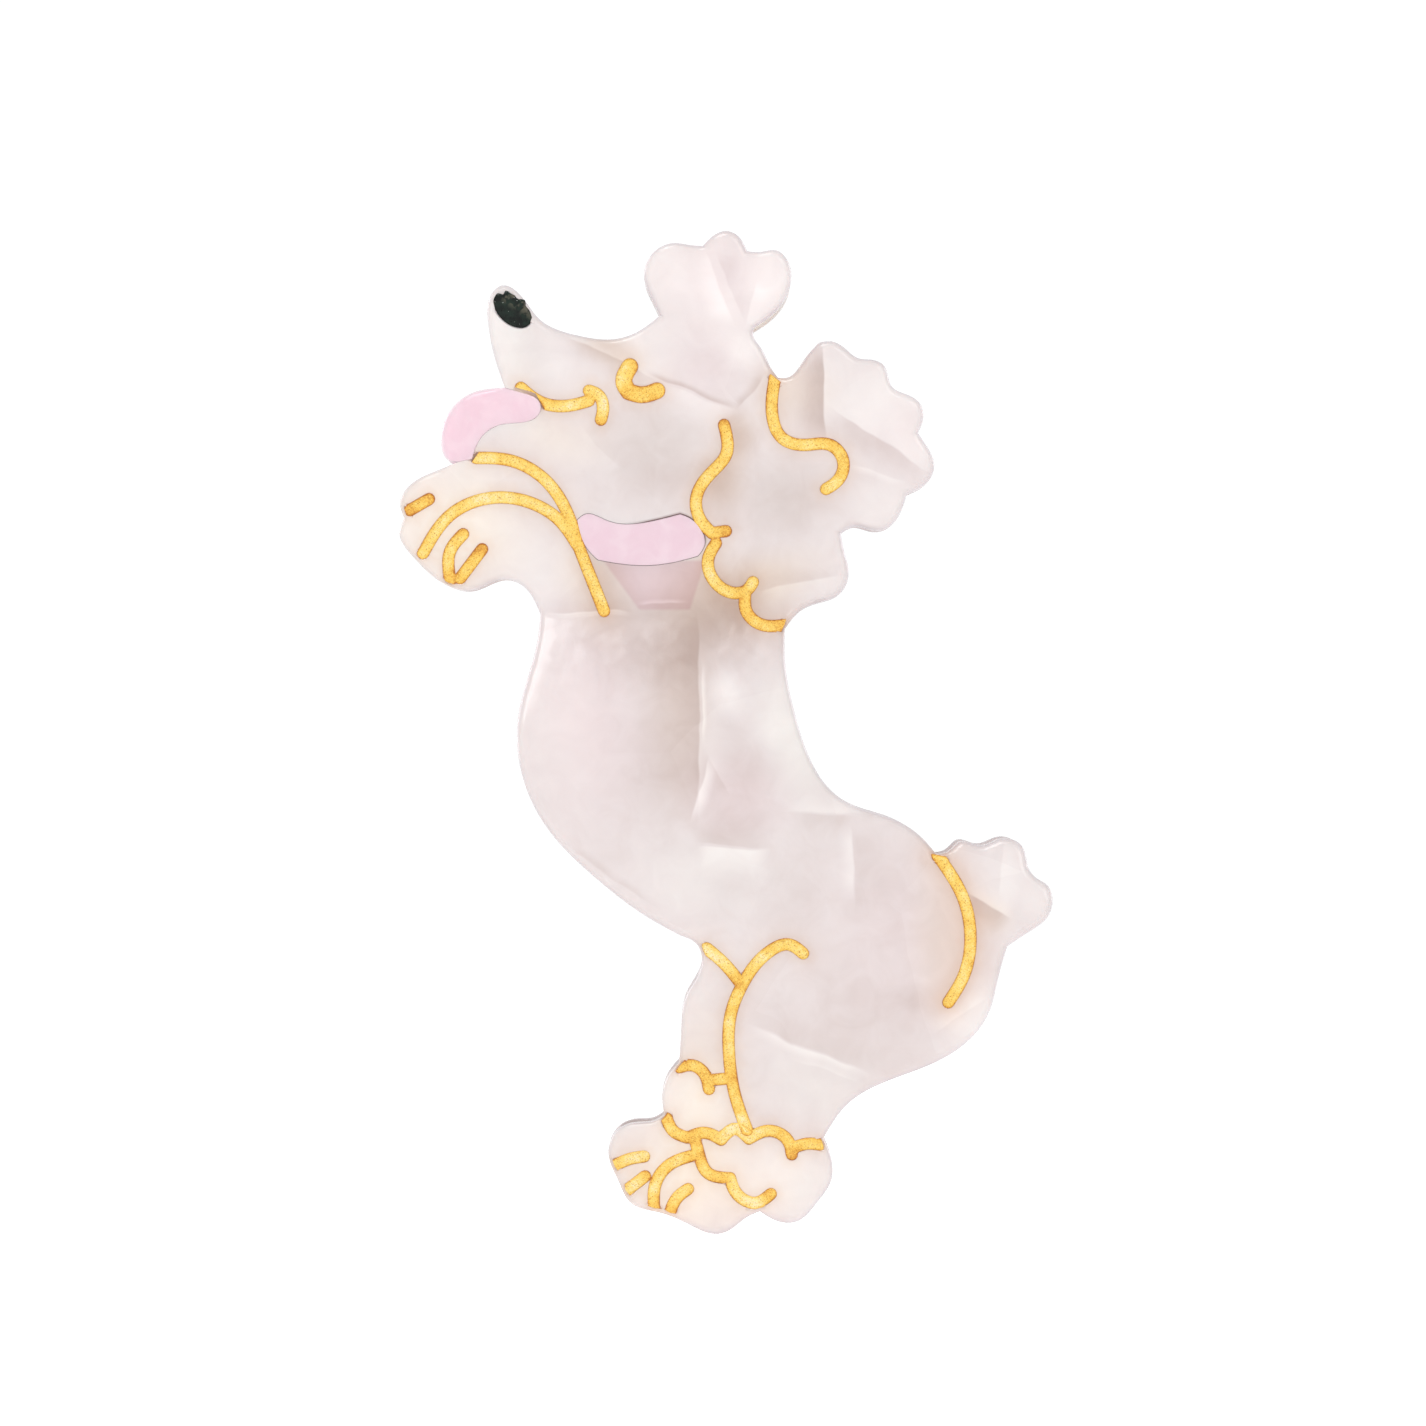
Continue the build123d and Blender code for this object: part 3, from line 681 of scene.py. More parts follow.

# Pearl folds inside the sheet, and some painted highlights and shade: a sharp border from one point to
# another. The tone drops there by the given amount on the left side of the way, or rises if it is negative,
# and fades over the given width.
FOLDS_AND_PAINTED_LIGHT = [
    ((-16.6, 90.2), (-6.5, 85.4), 3, -0.1), ((-6.5, 85.4), (-16.8, 90.2), 2.6, 0.16),
    ((-8.4, 86.5), (1, 82.4), 0.7, 0.3), ((1.2, 82.2), (-6.2, 85.2), 3.4, -0.14),
    ((1, 82.3), (4, 86.2), 1.2, 0.22), ((-2.8, 41), (-2.8, 62.5), 8, 0.28),
    # The first fold on the next line is a painted glint along the lower edge of the pad behind the sheet
    ((-8.8, 63), (-3.6, 63.1), 0.5, -0.3), ((-2.5, 57.6), (-2.5, 49), 0.55, -0.3),
    ((-1.7, 48.2), (-3.6, 41.6), 1.4, -0.34), ((0.4, 44), (-2, 48.6), 2.6, 0.12),
    ((4.6, 38.5), (-3.2, 38.9), 3.8, -0.26), ((-3.4, 39.3), (4.8, 38.6), 2.6, 0.14),
    ((12.7, 33.4), (12.7, 41.4), 1.6, -0.18), ((12.6, 41.4), (12.9, 32), 5, 0.1),
    ((2, 21.4), (14.8, 16.2), 5.5, 0.12), ((14.8, 16), (2.2, 21.2), 1.1, -0.22),
    ((6.6, 17.8), (13.4, 15), 1, -0.1), ((24.2, 34.4), (28.4, 31.8), 2.6, -0.16),
    ((28.4, 31.8), (24.2, 34.4), 3.2, 0.26), ((27.7, 39.6), (27.5, 33.4), 2.6, -0.12),
    ((9.8, 79.4), (9.6, 89.4), 3.6, 0.34), ((9.6, 89.4), (9.8, 81), 4.6, -0.12),
    ((20.6, 76.2), (10.4, 83.2), 2.8, 0.2), ((10.4, 83.2), (20.6, 76.2), 4.4, -0.1),
    ((18.4, 75.6), (12.4, 77.2), 0.8, -0.14), ((0.9, 91), (-2, 98.8), 2.6, -0.2),
    ((-1, 98.6), (1.9, 91.2), 2.8, 0.16), ((3.4, 95.6), (1.8, 91), 2.6, -0.14),
    ((11.8, 66.4), (3, 64.6), 2.4, -0.14), ((3, 64.6), (11.8, 66.4), 2.2, 0.08),
    # The next line paints a highlight along the neck bend and painted shade just below it
    ((-9, 62.4), (-18.3, 62.5), 0.75, -0.32), ((-19.2, 62.1), (-9, 62.1), 2.4, 0.1),
    ((5.2, 42.6), (13.6, 42.4), 2, -0.14), ((13.6, 42.2), (6.4, 42.4), 3, 0.12),
    ((-17, 40), (-6.6, 32.4), 0.9, 0.12), ((20.6, 20), (26.4, 24), 2, -0.12),
    ((-14.6, 81.4), (-10, 76.4), 2.2, 0.07),
]

# Softer places, with painted shade at the neck among them: middle, half widths, turn in degrees and tone
CLOUDS = [
    # The first two places paint the shade at the neck bend, over the hinge and spring behind the sheet
    ((-4, 61.5), (12, 7.5), 0, -0.32), ((0.4, 62.4), (4.4, 5), 0, -0.18),
    ((-7.2, 65.2), (4.4, 2.4), 0, 0.2), ((-12, 58), (6, 5), 0, -0.08), ((1.6, 46), (4, 3), 0, -0.1),
    ((-15.5, 51), (6, 10), 8, 0.14), ((-8.6, 46), (6, 8), 30, -0.06), ((0.2, 54.4), (1.9, 2.8), 20, 0.26),
    ((4.4, 50.4), (2.2, 2.2), 0, 0.1), ((6.6, 50.5), (3.4, 8), 20, 0.2), ((1.4, 48.8), (2.6, 5), 10, -0.1),
    ((0.8, 41.8), (5, 2.6), 0, -0.14), ((-4.4, 35.2), (4.6, 3.6), 0, 0.1), ((16, 20), (11, 8), -15, -0.08),
    ((18, 32), (8, 9), 0, -0.06), ((8, 33), (4, 7), 0, -0.06), ((12, 24), (8, 4), -15, -0.06),
    ((18.8, 23.4), (2, 1.6), 0, -0.12), ((9, 15.4), (5.5, 4), -15, 0.1),
    ((24.6, 21.5), (3.4, 5), -30, 0.22), ((28.6, 36.2), (4, 4.5), 0, 0.08), ((31, 33.4), (2, 2.5), 0, 0.1),
    ((-3, 22), (2.5, 8), 0, 0.06), ((-2.8, 14), (5, 4), 0, 0.32), ((-4, 6), (9, 7), 0, 0.3),
    ((6.4, 5.4), (5, 5), 0, 0.26), ((-27, 71), (8, 8), 0, 0.34), ((-18, 66), (5, 4.5), 0, 0.14),
    ((-12.6, 66.8), (2.6, 5), 20, -0.18), ((-17, 79.6), (6, 2.6), -20, 0.12),
    ((-8, 79.6), (6, 5), -20, -0.14), ((-5, 75), (9, 3.4), 0, -0.14), ((-0.6, 75.2), (2.6, 5), 0, -0.22),
    ((-22.2, 89), (2.6, 6), 12, 0.22), ((-16, 86.6), (6, 3), -24, 0.1),
    ((-11.6, 88.8), (3.6, 1.4), -20, -0.26), ((1.4, 80.2), (1.8, 3), 20, -0.28),
    ((4, 84), (2, 2.4), 0, 0.04), ((15.6, 84), (5, 4), -30, 0.18), ((19, 78.6), (3, 4), -30, 0.1),
    ((6, 73.6), (6, 5), 0, -0.18), ((10, 70), (3, 3), 0, 0.02), ((16, 73), (4, 3), 0, 0.12),
    ((4.6, 96), (3.4, 4), 0, 0.2), ((-6, 96), (3.4, 4), 0, 0.14), ((-2.6, 88), (4, 3.6), -30, -0.12),
    ((1.6, 88.2), (1.8, 2.2), 0, 0.16), ((0, 93), (7, 7), 0, 0.2), ((-7, 88), (6, 4), -20, 0.1),
]

# Places where the acetate is warm and creamy, pinkish or cool: middle, half widths, turn and amount
WARM = [
    ((-27, 71), (9, 8), 0, 0.9), ((-4, 6), (10, 8), 0, 0.75), ((-2.6, 15), (5, 10), 0, 0.7),
    ((-13, 65), (4, 6), 20, 0.9), ((-4.4, 54), (4, 12), 0, 0.5), ((6.8, 84.4), (4.5, 4), 0, 0.8),
    # The first place on the next line gives the painted shade at the neck its warm brown
    ((0, 64), (8, 5), 0, 1), ((-0.6, 75.5), (3, 4), 0, 0.9), ((21.5, 30), (3.5, 8), 0, 0.8),
    ((-11.5, 88.6), (4, 2), -20, 0.9), ((26.5, 32), (2.5, 2), -30, 0.8), ((5, 66), (6, 3), 20, 0.7),
    ((-17, 79.8), (6, 3), -20, 0.6), ((1.4, 80), (2, 3), 0, 0.8),
]
ROSE = [
    ((-14, 52), (7, 13), 8, 0.9), ((0, 95.5), (8, 6), 0, 0.7), ((-2, 87), (5, 5), 0, 0.6),
    ((18, 30), (9, 10), 0, 0.5), ((1, 44), (6, 5), 0, 0.7), ((18, 80), (5, 5), 0, 0.4),
]
COOL = [
    ((7, 49), (4, 9), 20, 0.8), ((-7, 79), (7, 5), 0, 0.6), ((-21, 89), (4, 7), 10, 0.6),
    ((9, 15), (8, 5), -15, 0.6), ((-0.5, 36), (8, 5), 0, 0.5), ((6, 74), (5, 5), 0, 0.6),
    ((8, 5), (4, 5), 0, 0.5),
]


def fold_group():
    """Node group that adds a fold to a tone: a step at its border that fades away from it and at its ends."""
    group = bpy.data.node_groups.new("pearl_fold", "ShaderNodeTree")
    for label in ("Tone", "Place", "Start", "Along", "Left", "Length", "Width", "Amount"):
        kind = "Vector" if label in ("Place", "Start", "Along", "Left") else "Float"
        group.interface.new_socket(label, in_out="INPUT", socket_type="NodeSocket" + kind)
    group.interface.new_socket("Tone", in_out="OUTPUT", socket_type="NodeSocketFloat")
    tree = Tree(group)
    given = tree.nodes.new("NodeGroupInput").outputs
    out = tree.nodes.new("NodeGroupOutput").inputs[0]
    offset = tree.vector("SUBTRACT", given["Place"], given["Start"])
    far = tree.dot(offset, given["Left"])
    along = tree.maths("DIVIDE", tree.dot(offset, given["Along"]), given["Length"])
    mask = tree.times(tree.ranged(far, -0.12, 0.14), tree.ranged(far, 0, given["Width"], 1, 0))
    for end in (tree.ranged(along, -0.04, 0.28), tree.ranged(along, 0.72, 1.04, 1, 0)):
        mask = tree.times(mask, end)
    dark = tree.times(mask, given["Amount"])
    tree.plug(tree.maths("SUBTRACT", given["Tone"], dark), out)
    return group


def add_folds(tree, group, tone, flat, folds):
    """Tone with some folds added."""
    for start, end, width, amount in folds:
        run = Vector(end) - Vector(start)
        unit = run.normalized()
        tone = tree.use(group, tone, flat, (start[0], 0, start[1]), (unit.x, 0, unit.y),
                        (-unit.y, 0, unit.x), run.length, width, amount)
    return tone


def soft_places(points, places):
    """Sum of some soft oval places at some points."""
    value = np.zeros(len(points))
    for middle, size, turn, amount in places:
        c, s = math.cos(math.radians(turn)), math.sin(math.radians(turn))
        offset = points - np.array(middle)
        u = (c * offset[:, 0] + s * offset[:, 1]) / size[0]
        v = (c * offset[:, 1] - s * offset[:, 0]) / size[1]
        far = np.clip(np.hypot(u, v) / 1.3, 0, 1)
        value += amount * (1 - far * far * (3 - 2 * far))
    return value


def pearl_marks(flat, word):
    """Tone and tints of the soft places of a jaw's pearl, among them painted shade at the neck; the pearl
    lies turned round in the rear one.
    """
    points = np.array(flat)[:, [0, 2]]
    if word == "rear":
        points = np.array(PEARL_TURN) - points
    marks = {"tone": soft_places(points, CLOUDS)}
    for name, places in (("warm", WARM), ("rose", ROSE), ("cool", COOL)):
        marks[name] = np.clip(soft_places(points, places), 0, 1)
    return marks


def total(tree, parts):
    """Sum of some values."""
    value = parts[0]
    for part in parts[1:]:
        value = tree.maths("ADD", value, part)
    return value


def pad_mask(tree, flat):
    """Where the pad behind the sheet, and the glue round it, show through the sheet."""
    mask = None
    for (xa, za), (xb, zb) in zip(HINGE_PAD, HINGE_PAD[1:] + HINGE_PAD[:1]):
        run = Vector((xb - xa, zb - za)).normalized()
        offset = tree.vector("SUBTRACT", flat, (xa, 0, za))
        side = tree.ranged(tree.dot(offset, (run.y, 0, -run.x)), -0.75, -0.35)
        mask = side if mask is None else tree.times(mask, side)
    return mask


def pearl_material(name):
    """Pearl acetate: large soft chips with sharp borders, bright on their faces and warm in their depths."""
    tree = Tree.of_material(name)
    where = tree.place()
    source = tree.vector("MULTIPLY_ADD", where, (1, 1, 1), (0, 0, 0))
    source.node.name = "turn"
    wander = tree.noise(source, 0.16, 2)["Color"]
    shift = tree.vector("MULTIPLY", tree.vector("SUBTRACT", wander, (0.5, 0.5, 0.5)), (1.5, 1.5, 1.5))
    moved = tree.vector("ADD", source, shift)
    flat = tree.vector("MULTIPLY", moved, (1, 0, 1))

    tone = add_folds(tree, fold_group(), PEARL_MIDDLE, flat, FOLDS_AND_PAINTED_LIGHT)
    chips = tree.cells(moved, CHIP_SCALE)
    lean = tree.vector("SUBTRACT", chips["Color"], (0.5, 0.5, 0.5))
    reach = tree.vector("SUBTRACT", moved, chips["Position"])
    slope = tree.times(tree.dot(lean, reach), CHIP_SLOPE)
    silk = tree.noise(where, 0.32, 4, 0.55, 0.8)["Fac"]
    silk = tree.times(tree.maths("SUBTRACT", silk, 0.5), 0.24)
    tone = tree.maths("ADD", total(tree, [tone, tree.mark("tone"), slope, silk]), 0, clamp=True)
    colour = tree.ramp(tone, PEARL_TONES)
    for name, tint in (("warm", WARM_TINT), ("rose", ROSE_TINT), ("cool", GREY_TINT)):
        colour = tree.mix(tree.mark(name), colour, tint, "MULTIPLY")
    exact = tree.vector("MULTIPLY", where, (1, 0, 1))
    colour = tree.mix(pad_mask(tree, exact), colour, PAD_TINT, "MULTIPLY")

    # Painted shade darkens the rounded rim where it faces sideways, a painted amber glow and shade of the
    # gold's light lies beside the paint, and the glue stains the sheet beside the collar
    edge = tree.ranged(tree.facing(), 0.25, 0.9, 1, 0)
    for share, tint in ((edge, EDGE_SHADE_TINT), (tree.mark("gold_glow"), GOLD_GLOW_TINT), (tree.mark("glue"), GLUE_TINT)):
        colour = tree.mix(share, colour, tint, "MULTIPLY")

    rough = tree.noise(where, 0.9, 3)["Fac"]
    normal = tree.bump(tree.noise(where, 0.22, 2)["Fac"], 0.3, 0.0006)
    normal = tree.bump(tree.noise(where, 5.5, 3)["Fac"], 0.1, 0.00004, normal)
    tree.wire({"Base Color": colour, "Roughness": tree.ranged(rough, 0.3, 0.7, 0.13, 0.22), "Normal": normal,
               "IOR": 1.48, "Subsurface Weight": 0.2, "Subsurface Radius": (1, 0.78, 0.7),
               "Subsurface Scale": 0.0018, "Coat Weight": 0.3, "Coat Roughness": 0.05})
    return tree.material


def turned_pearl(material, name):
    """The same pearl from another place of the sheet, with its pattern turned round."""
    copy = material.copy()
    copy.name = name
    turn = copy.node_tree.nodes["turn"]
    turn.inputs[1].default_value = (-1, -1, -1)
    turn.inputs[2].default_value = (PEARL_TURN[0], 0, PEARL_TURN[1])
    return copy


def milky_material(name, base, light, edge_tint):
    """Opaque pastel acetate with a faint milky marbling and a paler rounded edge."""
    tree = Tree.of_material(name)
    where = tree.place()
    milk = tree.noise(where, 0.35, 3, 0.5, 0.6)["Fac"]
    colour = tree.mix(tree.ranged(milk, 0.35, 0.68), base, light)
    speck = tree.noise(where, 7, 2)["Fac"]
    colour = tree.mix(tree.ranged(speck, 0.62, 0.75, 0, 0.1), colour, linear(255, 246, 250))
    colour = tree.mix(tree.ranged(tree.facing(), 0.35, 0.93, 1, 0), colour, edge_tint)
    rough = tree.ranged(tree.noise(where, 1.2)["Fac"], 0.3, 0.7, 0.16, 0.26)
    normal = tree.bump(tree.noise(where, 0.5)["Fac"], 0.25, 0.0004)
    tree.wire({"Base Color": colour, "Roughness": rough, "Normal": normal, "Subsurface Weight": 0.25,
               "Subsurface Radius": (1, 0.7, 0.8), "Subsurface Scale": 0.0015, "Coat Weight": 0.3,
               "Coat Roughness": 0.06})
    return tree.material


def gold_material():
    """Gold paint: fine flakes in amber lacquer, brown along its rims and in pools, pale where it is thin."""
    tree = Tree.of_material("gold_paint")
    where = tree.place()
    flakes = tree.cells(where, 9)
    flake = tree.dot(flakes["Color"], (0.5, 0.3, 0.2))
    thin = tree.noise(where, 0.55, 3, 0.6)["Fac"]
    pale = tree.ranged(tree.noise(where, 0.15, 1)["Fac"], 0.52, 0.66, 0, 0.22)
    amount = total(tree, [tree.times(flake, 0.4), tree.ranged(thin, 0.25, 0.75, 0.18, 0.48), pale,
                          tree.times(tree.mark("rim"), -0.62),
                          tree.times(tree.mark("pool"), -0.3)])
    colour = tree.ramp(amount, GOLD_TONES)
    specks = tree.noise(where, 8, 2)["Fac"]
    colour = tree.mix(tree.ranged(specks, 0.58, 0.66, 0, 0.75), colour, linear(190, 118, 40))
    normal = tree.bump(flakes["Distance"], 0.45, 0.00006)
    tree.wire({"Base Color": colour, "Roughness": tree.ranged(flake, 0.2, 0.8, 0.34, 0.52), "Normal": normal,
               "Specular IOR Level": 0.35})
    return tree.material


def enamel_material():
    """Near-black green enamel with a few bright specks of glitter."""
    tree = Tree.of_material("black_enamel")
    where = tree.place()
    cloud = tree.noise(where, 1.4, 3)["Fac"]
    colour = tree.mix(tree.ranged(cloud, 0.35, 0.7), linear(7, 13, 10), linear(22, 38, 30))
    lumps = tree.ranged(tree.noise(where, 1.7, 2)["Fac"], 0.48, 0.62, 0, 0.7)
    upper = tree.ranged(tree.dot(where, (0.55, 0, 0.83)), 64.9, 65.9)
    colour = tree.mix(tree.times(lumps, upper), colour, linear(96, 92, 78))
    specks = tree.cells(where, 3.6)
    spark = tree.ranged(specks["Distance"], 0.06, 0.16, 1, 0)
    chosen = tree.dot(specks["Color"], (1, 0, 0))
    spark = tree.times(spark, tree.ranged(chosen, 0.8, 0.86))
    colour = tree.mix(spark, colour, linear(222, 228, 220))
    normal = tree.bump(tree.noise(where, 1.1, 2)["Fac"], 0.35, 0.0003)
    tree.wire({"Base Color": colour, "Normal": normal, "Roughness": 0.16, "Specular IOR Level": 0.16,
               "Coat Weight": 0.12, "Coat Roughness": 0.03})
    return tree.material


def steel_material():
    """Bright drawn spring steel with fine draw lines."""
    tree = Tree.of_material("spring_steel")
    where = tree.place()
    lines = tree.noise(tree.vector("MULTIPLY", where, (0.4, 6, 6)), 1.5, 3)["Fac"]
    colour = tree.mix(lines, linear(168, 168, 172), linear(214, 213, 212))
    tree.wire({"Base Color": colour, "Roughness": tree.ranged(lines, 0.3, 0.7, 0.2, 0.34),
               "Normal": tree.bump(lines, 0.2, 0.00003), "Metallic": 1})
    return tree.material


# ---- the two jaws

JAW_LOOP = closed_loop(TONGUE_START, OUTLINE + [[(-25.4, 77.7)], TONGUE_INNER[-2::-1] + [TONGUE_START]])
TONGUE_LOOP = closed_loop(TONGUE_ROOT, [TONGUE_OUTER, TONGUE_INNER, [TONGUE_ROOT]], 0.3)
COLLAR_LOOP = closed_loop(COLLAR_START, COLLAR, 0.3)


def nose_loop():
    """The nose's oval, turned."""
    t = np.linspace(0, 2 * math.pi, 48, endpoint=False)
    u, v = NOSE_SIZE[0] * np.cos(t), NOSE_SIZE[1] * np.sin(t)
    c, s = math.cos(NOSE_TURN), math.sin(NOSE_TURN)
    return np.stack([NOSE_MIDDLE[0] + c * u - s * v, NOSE_MIDDLE[1] + s * u + c * v], 1)


NOSE_LOOP = nose_loop()


def rim_by_place(loop, other, normal):
    """Rim radius at each point: small where the loop runs beside another piece."""
    near = distance_to([np.vstack([other, other[:1]])], loop)
    return JOINT_RIM + (normal - JOINT_RIM) * np.clip((near - 0.15) / 1.2, 0, 1)


def jaw_cut(points):
    """How deep the jaw's outer face is cut: grooves, the collar's pocket and the nose's seat."""
    collar = np.clip((signed(COLLAR_LOOP, points) + COLLAR_JOINT) / COLLAR_JOINT, 0, 1)
    nose = np.clip((signed(NOSE_LOOP, points) + NOSE_SLOPE) / NOSE_SLOPE, 0, 1)
    return np.maximum(groove_depth(points), np.maximum(COLLAR_SEAT * collar, NOSE_SEAT * nose))


def jaw_marks(points, offsets):
    """Painted amber glow and shade beside the paint, for the gold's light scattered in the acetate, and the
    line of glue along the collar's upper and right edges.

    They are on the outer face and show through only faintly on the inner one.
    """
    strength = np.where(offsets > 0, 1.0, INSIDE_GLOW_AND_GLUE)
    glows = []
    for name, (lines, half) in GROUPS.items():
        far = np.maximum(distance_to(lines, points) - half, 0)
        wide = 0.2 if name == "gold_tail" else 0.06
        # Painted glow and shade beside each group's lines, wider beside the tail's
        glows.append(0.2 * np.exp(-far / GLOW_NEAR) + wide * np.exp(-(far / GLOW_FAR) ** 2))
    beside = np.abs(signed(COLLAR_LOOP, points) + COLLAR_JOINT / 2)
    lift = points[:, 1] - GLUE_FROM[1] + GLUE_FALL * (points[:, 0] - GLUE_FROM[0])
    glue = np.exp(-(beside / GLUE_WIDTH) ** 2) * np.clip(lift + 0.6, 0, 1)
    return {"gold_glow": np.max(glows, axis=0) * strength, "glue": glue * strength}


def nose_shape():
    """Flat shape of the drop of enamel, smooth below and ragged along its upper edge."""
    t = np.linspace(0, 2 * math.pi, len(NOSE_LOOP), endpoint=False)
    upper = np.clip(np.sin(t - 0.35), 0, 1)
    ragged = 1 - 0.11 * upper * (1 + 0.9 * np.sin(7 * t + 1) + 0.6 * np.sin(12 * t))
    middle = np.array(NOSE_MIDDLE)
    # Shares of the oval's size and heights of the rings that make up the drop
    profile = [(1.0, -0.3), (1.0, -0.08), (0.95, 0.04), (0.85, 0.1), (0.65, 0.14), (0.35, 0.16),
               (0.08, 0.165)]
    points = []
    for share, lift in profile:
        ring = middle + (NOSE_LOOP - middle) * (ragged * share)[:, None]
        lumps = 0.1 * upper * np.clip(share - 0.2, 0, 0.6) * (1 + np.sin(9 * t + 2))
        points.extend((x, HALF - NOSE_SEAT + 0.1 + lift + lump * (lift > 0), z)
                      for (x, z), lump in zip(ring, lumps))
    return points, ring_faces(len(profile), len(NOSE_LOOP), (0, len(profile) - 1)), {}


def jaw_shapes():
    """Flat shapes of a jaw's pieces, by the CAD node that each stands for, with slot and smoothing angle."""
    top_rim = rim_by_place(JAW_LOOP, TONGUE_LOOP, RIM)
    inner = JAW_LOOP + inward(JAW_LOOP) * top_rim[:, None]
    tracks = engraving_tracks(inner)
    for loop, gaps in ((COLLAR_LOOP, (0.0, -COLLAR_JOINT, -0.14, -0.3)), (NOSE_LOOP, (0.0, -0.11))):
        rings = [loop + inward(loop) * gap for gap in gaps]
        tracks += [np.vstack([ring, ring[:1]]) for ring in rings]
    tracks = kept_runs(tracks, lambda p: signed(inner, p) > 0.02)
    tongue_rim = rim_by_place(TONGUE_LOOP, JAW_LOOP, RIM)
    collar = COLLAR_LOOP + inward(COLLAR_LOOP) * 0.01
    shapes = {
        "jaw": (plate(JAW_LOOP, -HALF, HALF, rim_by_place(JAW_LOOP, TONGUE_LOOP, RIM_INSIDE), top_rim,
                      jaw_cut, tracks, jaw_marks), "pearl_acetate", 38),
        "tongue_inlay": (plate(TONGUE_LOOP, -HALF, HALF, tongue_rim * 0.7, tongue_rim), "pink_acetate", 38),
        "collar_inlay": (plate(collar, HALF - COLLAR_SHEET, HALF - 0.01, 0.05, 0.06), "pink_acetate", 38),
        "nose_enamel": (nose_shape(), "black_enamel", 60),
    }
    for group in GOLD:
        shapes[group] = (paint(group, JAW_LOOP), "gold_paint", 60)
    return shapes


def spring_shape():
    """Points and faces of the torsion spring: round wire coiled round the pin, with a leg at each end."""
    c, s = math.cos(LEG_TILT), math.sin(LEG_TILT)
    angles = np.linspace(0, 2 * math.pi * COIL_TURNS, 150)
    across, along = np.array([-c, -s]), np.array([s, -c])
    turned = np.outer(np.cos(angles), across) + np.outer(np.sin(angles), along)
    coil = np.array([0.0, NECK_Z]) + COIL_RADIUS * turned
    climb = np.linspace(COIL_LEFT, COIL_RIGHT, len(angles))
    path = np.column_stack([climb, coil])
    last = np.cos(angles[-1]) * along - np.sin(angles[-1]) * across
    legs = [(path[0], -np.array([0.0, *along])), (path[-1], np.array([0.0, *last]))]
    steps = (LEG_LENGTH, LEG_LENGTH - 0.06, LEG_LENGTH - 0.25, LEG_LENGTH * 0.66, LEG_LENGTH * 0.33)
    lead = [legs[0][0] + legs[0][1] * step for step in steps]
    tail = [legs[1][0] + legs[1][1] * step for step in steps[::-1]]
    path = np.vstack([lead, path, tail])
    radii = np.full(len(path), WIRE / 2)
    radii[[0, -1]] *= 0.45
    radii[[1, -2]] *= 0.8
    way = np.gradient(path, axis=0)
    way /= np.linalg.norm(way, axis=1)[:, None]
    u = np.array([1.0, 0.0, 0.0]) - way[:, :1] * way
    u /= np.linalg.norm(u, axis=1)[:, None]
    v = np.cross(way, u)
    turns = [2 * math.pi * i / WIRE_SIDES for i in range(WIRE_SIDES)]
    points = [path[k] + radii[k] * (math.cos(turn) * u[k] + math.sin(turn) * v[k])
              for k in range(len(path)) for turn in turns]
    return points, ring_faces(len(path), WIRE_SIDES, (0, len(path) - 1))


PEARL = {"front": pearl_material("pearl_acetate")}
PEARL["rear"] = turned_pearl(PEARL["front"], "pearl_acetate_rear")
FINISHES = {
    "pink_acetate": milky_material("pink_acetate", linear(235, 202, 214), linear(239, 210, 220),
                                   linear(246, 224, 232)),
    "lilac_acetate": milky_material("lilac_acetate", linear(206, 186, 198), linear(220, 204, 212),
                                    linear(228, 214, 220)),
    "gold_paint": gold_material(),
    "black_enamel": enamel_material(),
    "steel": steel_material(),
}

SHAPES = jaw_shapes()
for word, side, body in (("front", -1, FRONT), ("rear", 1, REAR)):
    for kind, (shape, slot, sharp) in SHAPES.items():
        material = PEARL[word] if slot == "pearl_acetate" else FINISHES[slot]
        flat, faces, marks = shape
        if slot == "pearl_acetate":
            marks = {**marks, **pearl_marks(flat, word)}
        placed = bend(np.array(flat, float), side)
        piece = make_object(word + "_" + kind + "_look", placed, faces, marks, material, sharp)
        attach(piece, body)
        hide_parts(word + "_" + kind)

# CAD nodes whose shape is right keep it and get their material
CAD_LOOKS = {"hinge_pin": FINISHES["steel"], "pin_cap": FINISHES["steel"]}
for word in ("front", "rear"):
    CAD_LOOKS[word + "_hinge_lugs"] = CAD_LOOKS[word + "_comb"] = PEARL[word]
    CAD_LOOKS[word + "_hinge_pad"] = FINISHES["lilac_acetate"]
for name, material in CAD_LOOKS.items():
    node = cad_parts[name]
    node.data.materials.clear()
    node.data.materials.append(material)

# The spring's coil lies between the jaws, with one leg along each of them
spring = make_object("torsion_spring_look", *spring_shape(), {}, FINISHES["steel"], 50)
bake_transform(spring)
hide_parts("torsion_spring")


# ---- studio

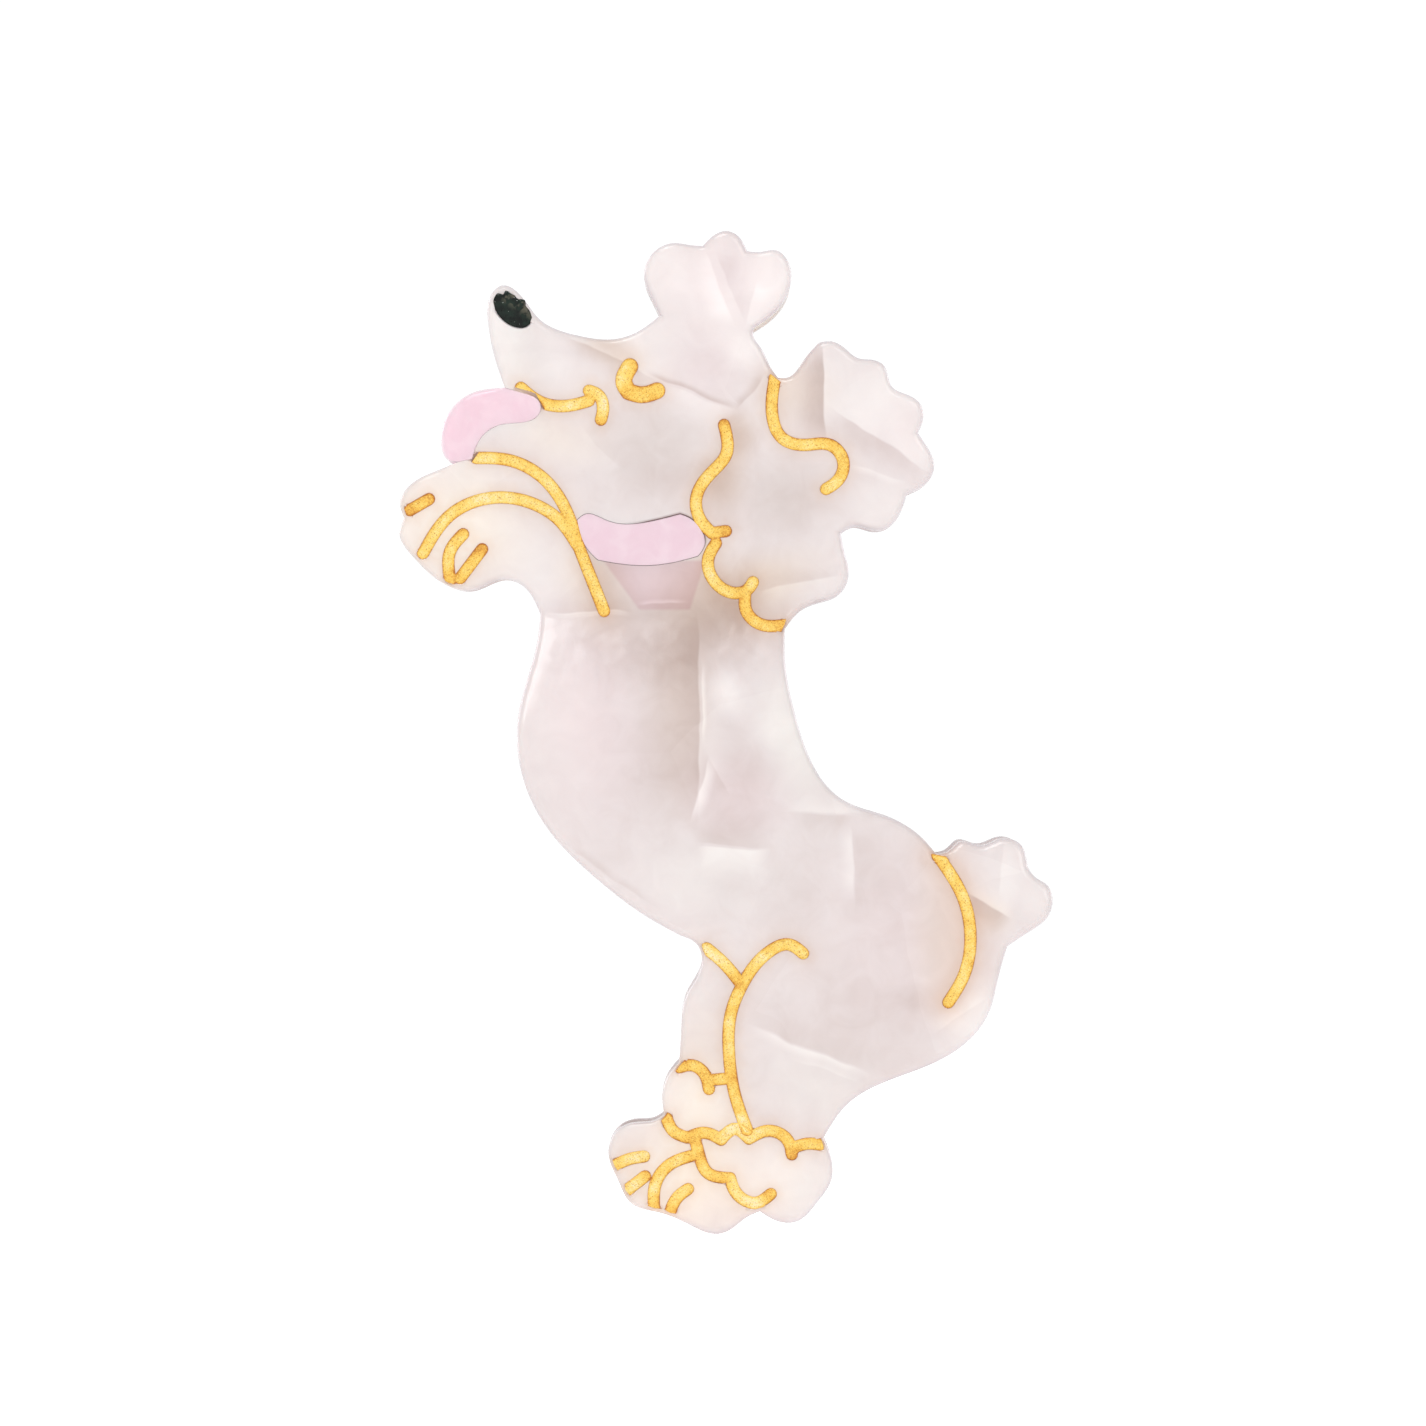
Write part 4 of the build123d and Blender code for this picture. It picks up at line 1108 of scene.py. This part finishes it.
def studio():
    """White floor and world, a broad light above and a fill from the camera's side, and the camera."""
    scene = bpy.context.scene
    scene.view_settings.view_transform = "Standard"

    bpy.ops.mesh.primitive_grid_add(x_subdivisions=8, y_subdivisions=8, size=3.0, location=(0, 0, -0.0002))
    floor = bpy.context.object
    floor.name = "floor"
    tree = Tree.of_material("floor_white")
    grain = tree.noise(tree.place(), 0.02, 2.0)["Fac"]
    seen = tree.add("LightPath", {})["Is Camera Ray"]
    tree.wire({"Base Color": tree.mix(grain, (0.86, 0.86, 0.86, 1), (0.9, 0.9, 0.9, 1)), "Roughness": 0.9,
               "Emission Color": (1, 1, 1, 1), "Emission Strength": tree.ranged(seen, 0.0, 1.0, 0.4, 0.62)})
    floor.data.materials.append(tree.material)

    world = bpy.data.worlds.new("white_room")
    scene.world = world
    world.use_nodes = True
    tree = Tree(world.node_tree)
    path = tree.add("LightPath", {})
    seen = tree.maths("ADD", path["Is Camera Ray"], path["Is Glossy Ray"], clamp=True)
    strength = tree.add("Mix", {"Factor": seen, "A": 0.5, "B": 1.05})["Result"]
    tree.feed(tree.nodes["Background"], {"Color": (1, 1, 1, 1), "Strength": strength})

    def area(name, place, size, power):
        """Round lamp that points at the object's middle."""
        light = bpy.data.lights.new(name, "AREA")
        light.shape = "DISK"
        light.size = size
        light.energy = power
        thing = bpy.data.objects.new(name, light)
        thing.location = place
        thing.rotation_euler = (Vector((0, 0, 0.05)) - Vector(place)).to_track_quat("-Z", "Y").to_euler()
        scene.collection.objects.link(thing)

    area("key_above", (-0.25, -0.45, 0.65), 0.5, 2.3)
    area("fill_front", (0.55, -0.8, 0.12), 0.7, 1.8)
    area("rim_left", (-0.7, 0.5, 0.2), 0.6, 1.2)
    area("rim_right", (0.7, 0.5, 0.15), 0.6, 1.2)

    lens, sensor = 500.0, 36.0
    view_mm = 142.6
    camera_data = bpy.data.cameras.new("camera")
    camera_data.lens = lens
    camera_data.sensor_width = sensor
    camera_data.clip_start, camera_data.clip_end = 0.05, 20.0
    camera = bpy.data.objects.new("camera", camera_data)
    centre = (CAMERA_X * MM, 0, CAMERA_Z * MM)
    front = -cad_box[0][1]
    camera.location = (centre[0], -(view_mm * MM * lens / sensor + front * 0.7), centre[2])
    camera.rotation_euler = (math.radians(90), 0, 0)
    scene.collection.objects.link(camera)
    scene.camera = camera


studio()
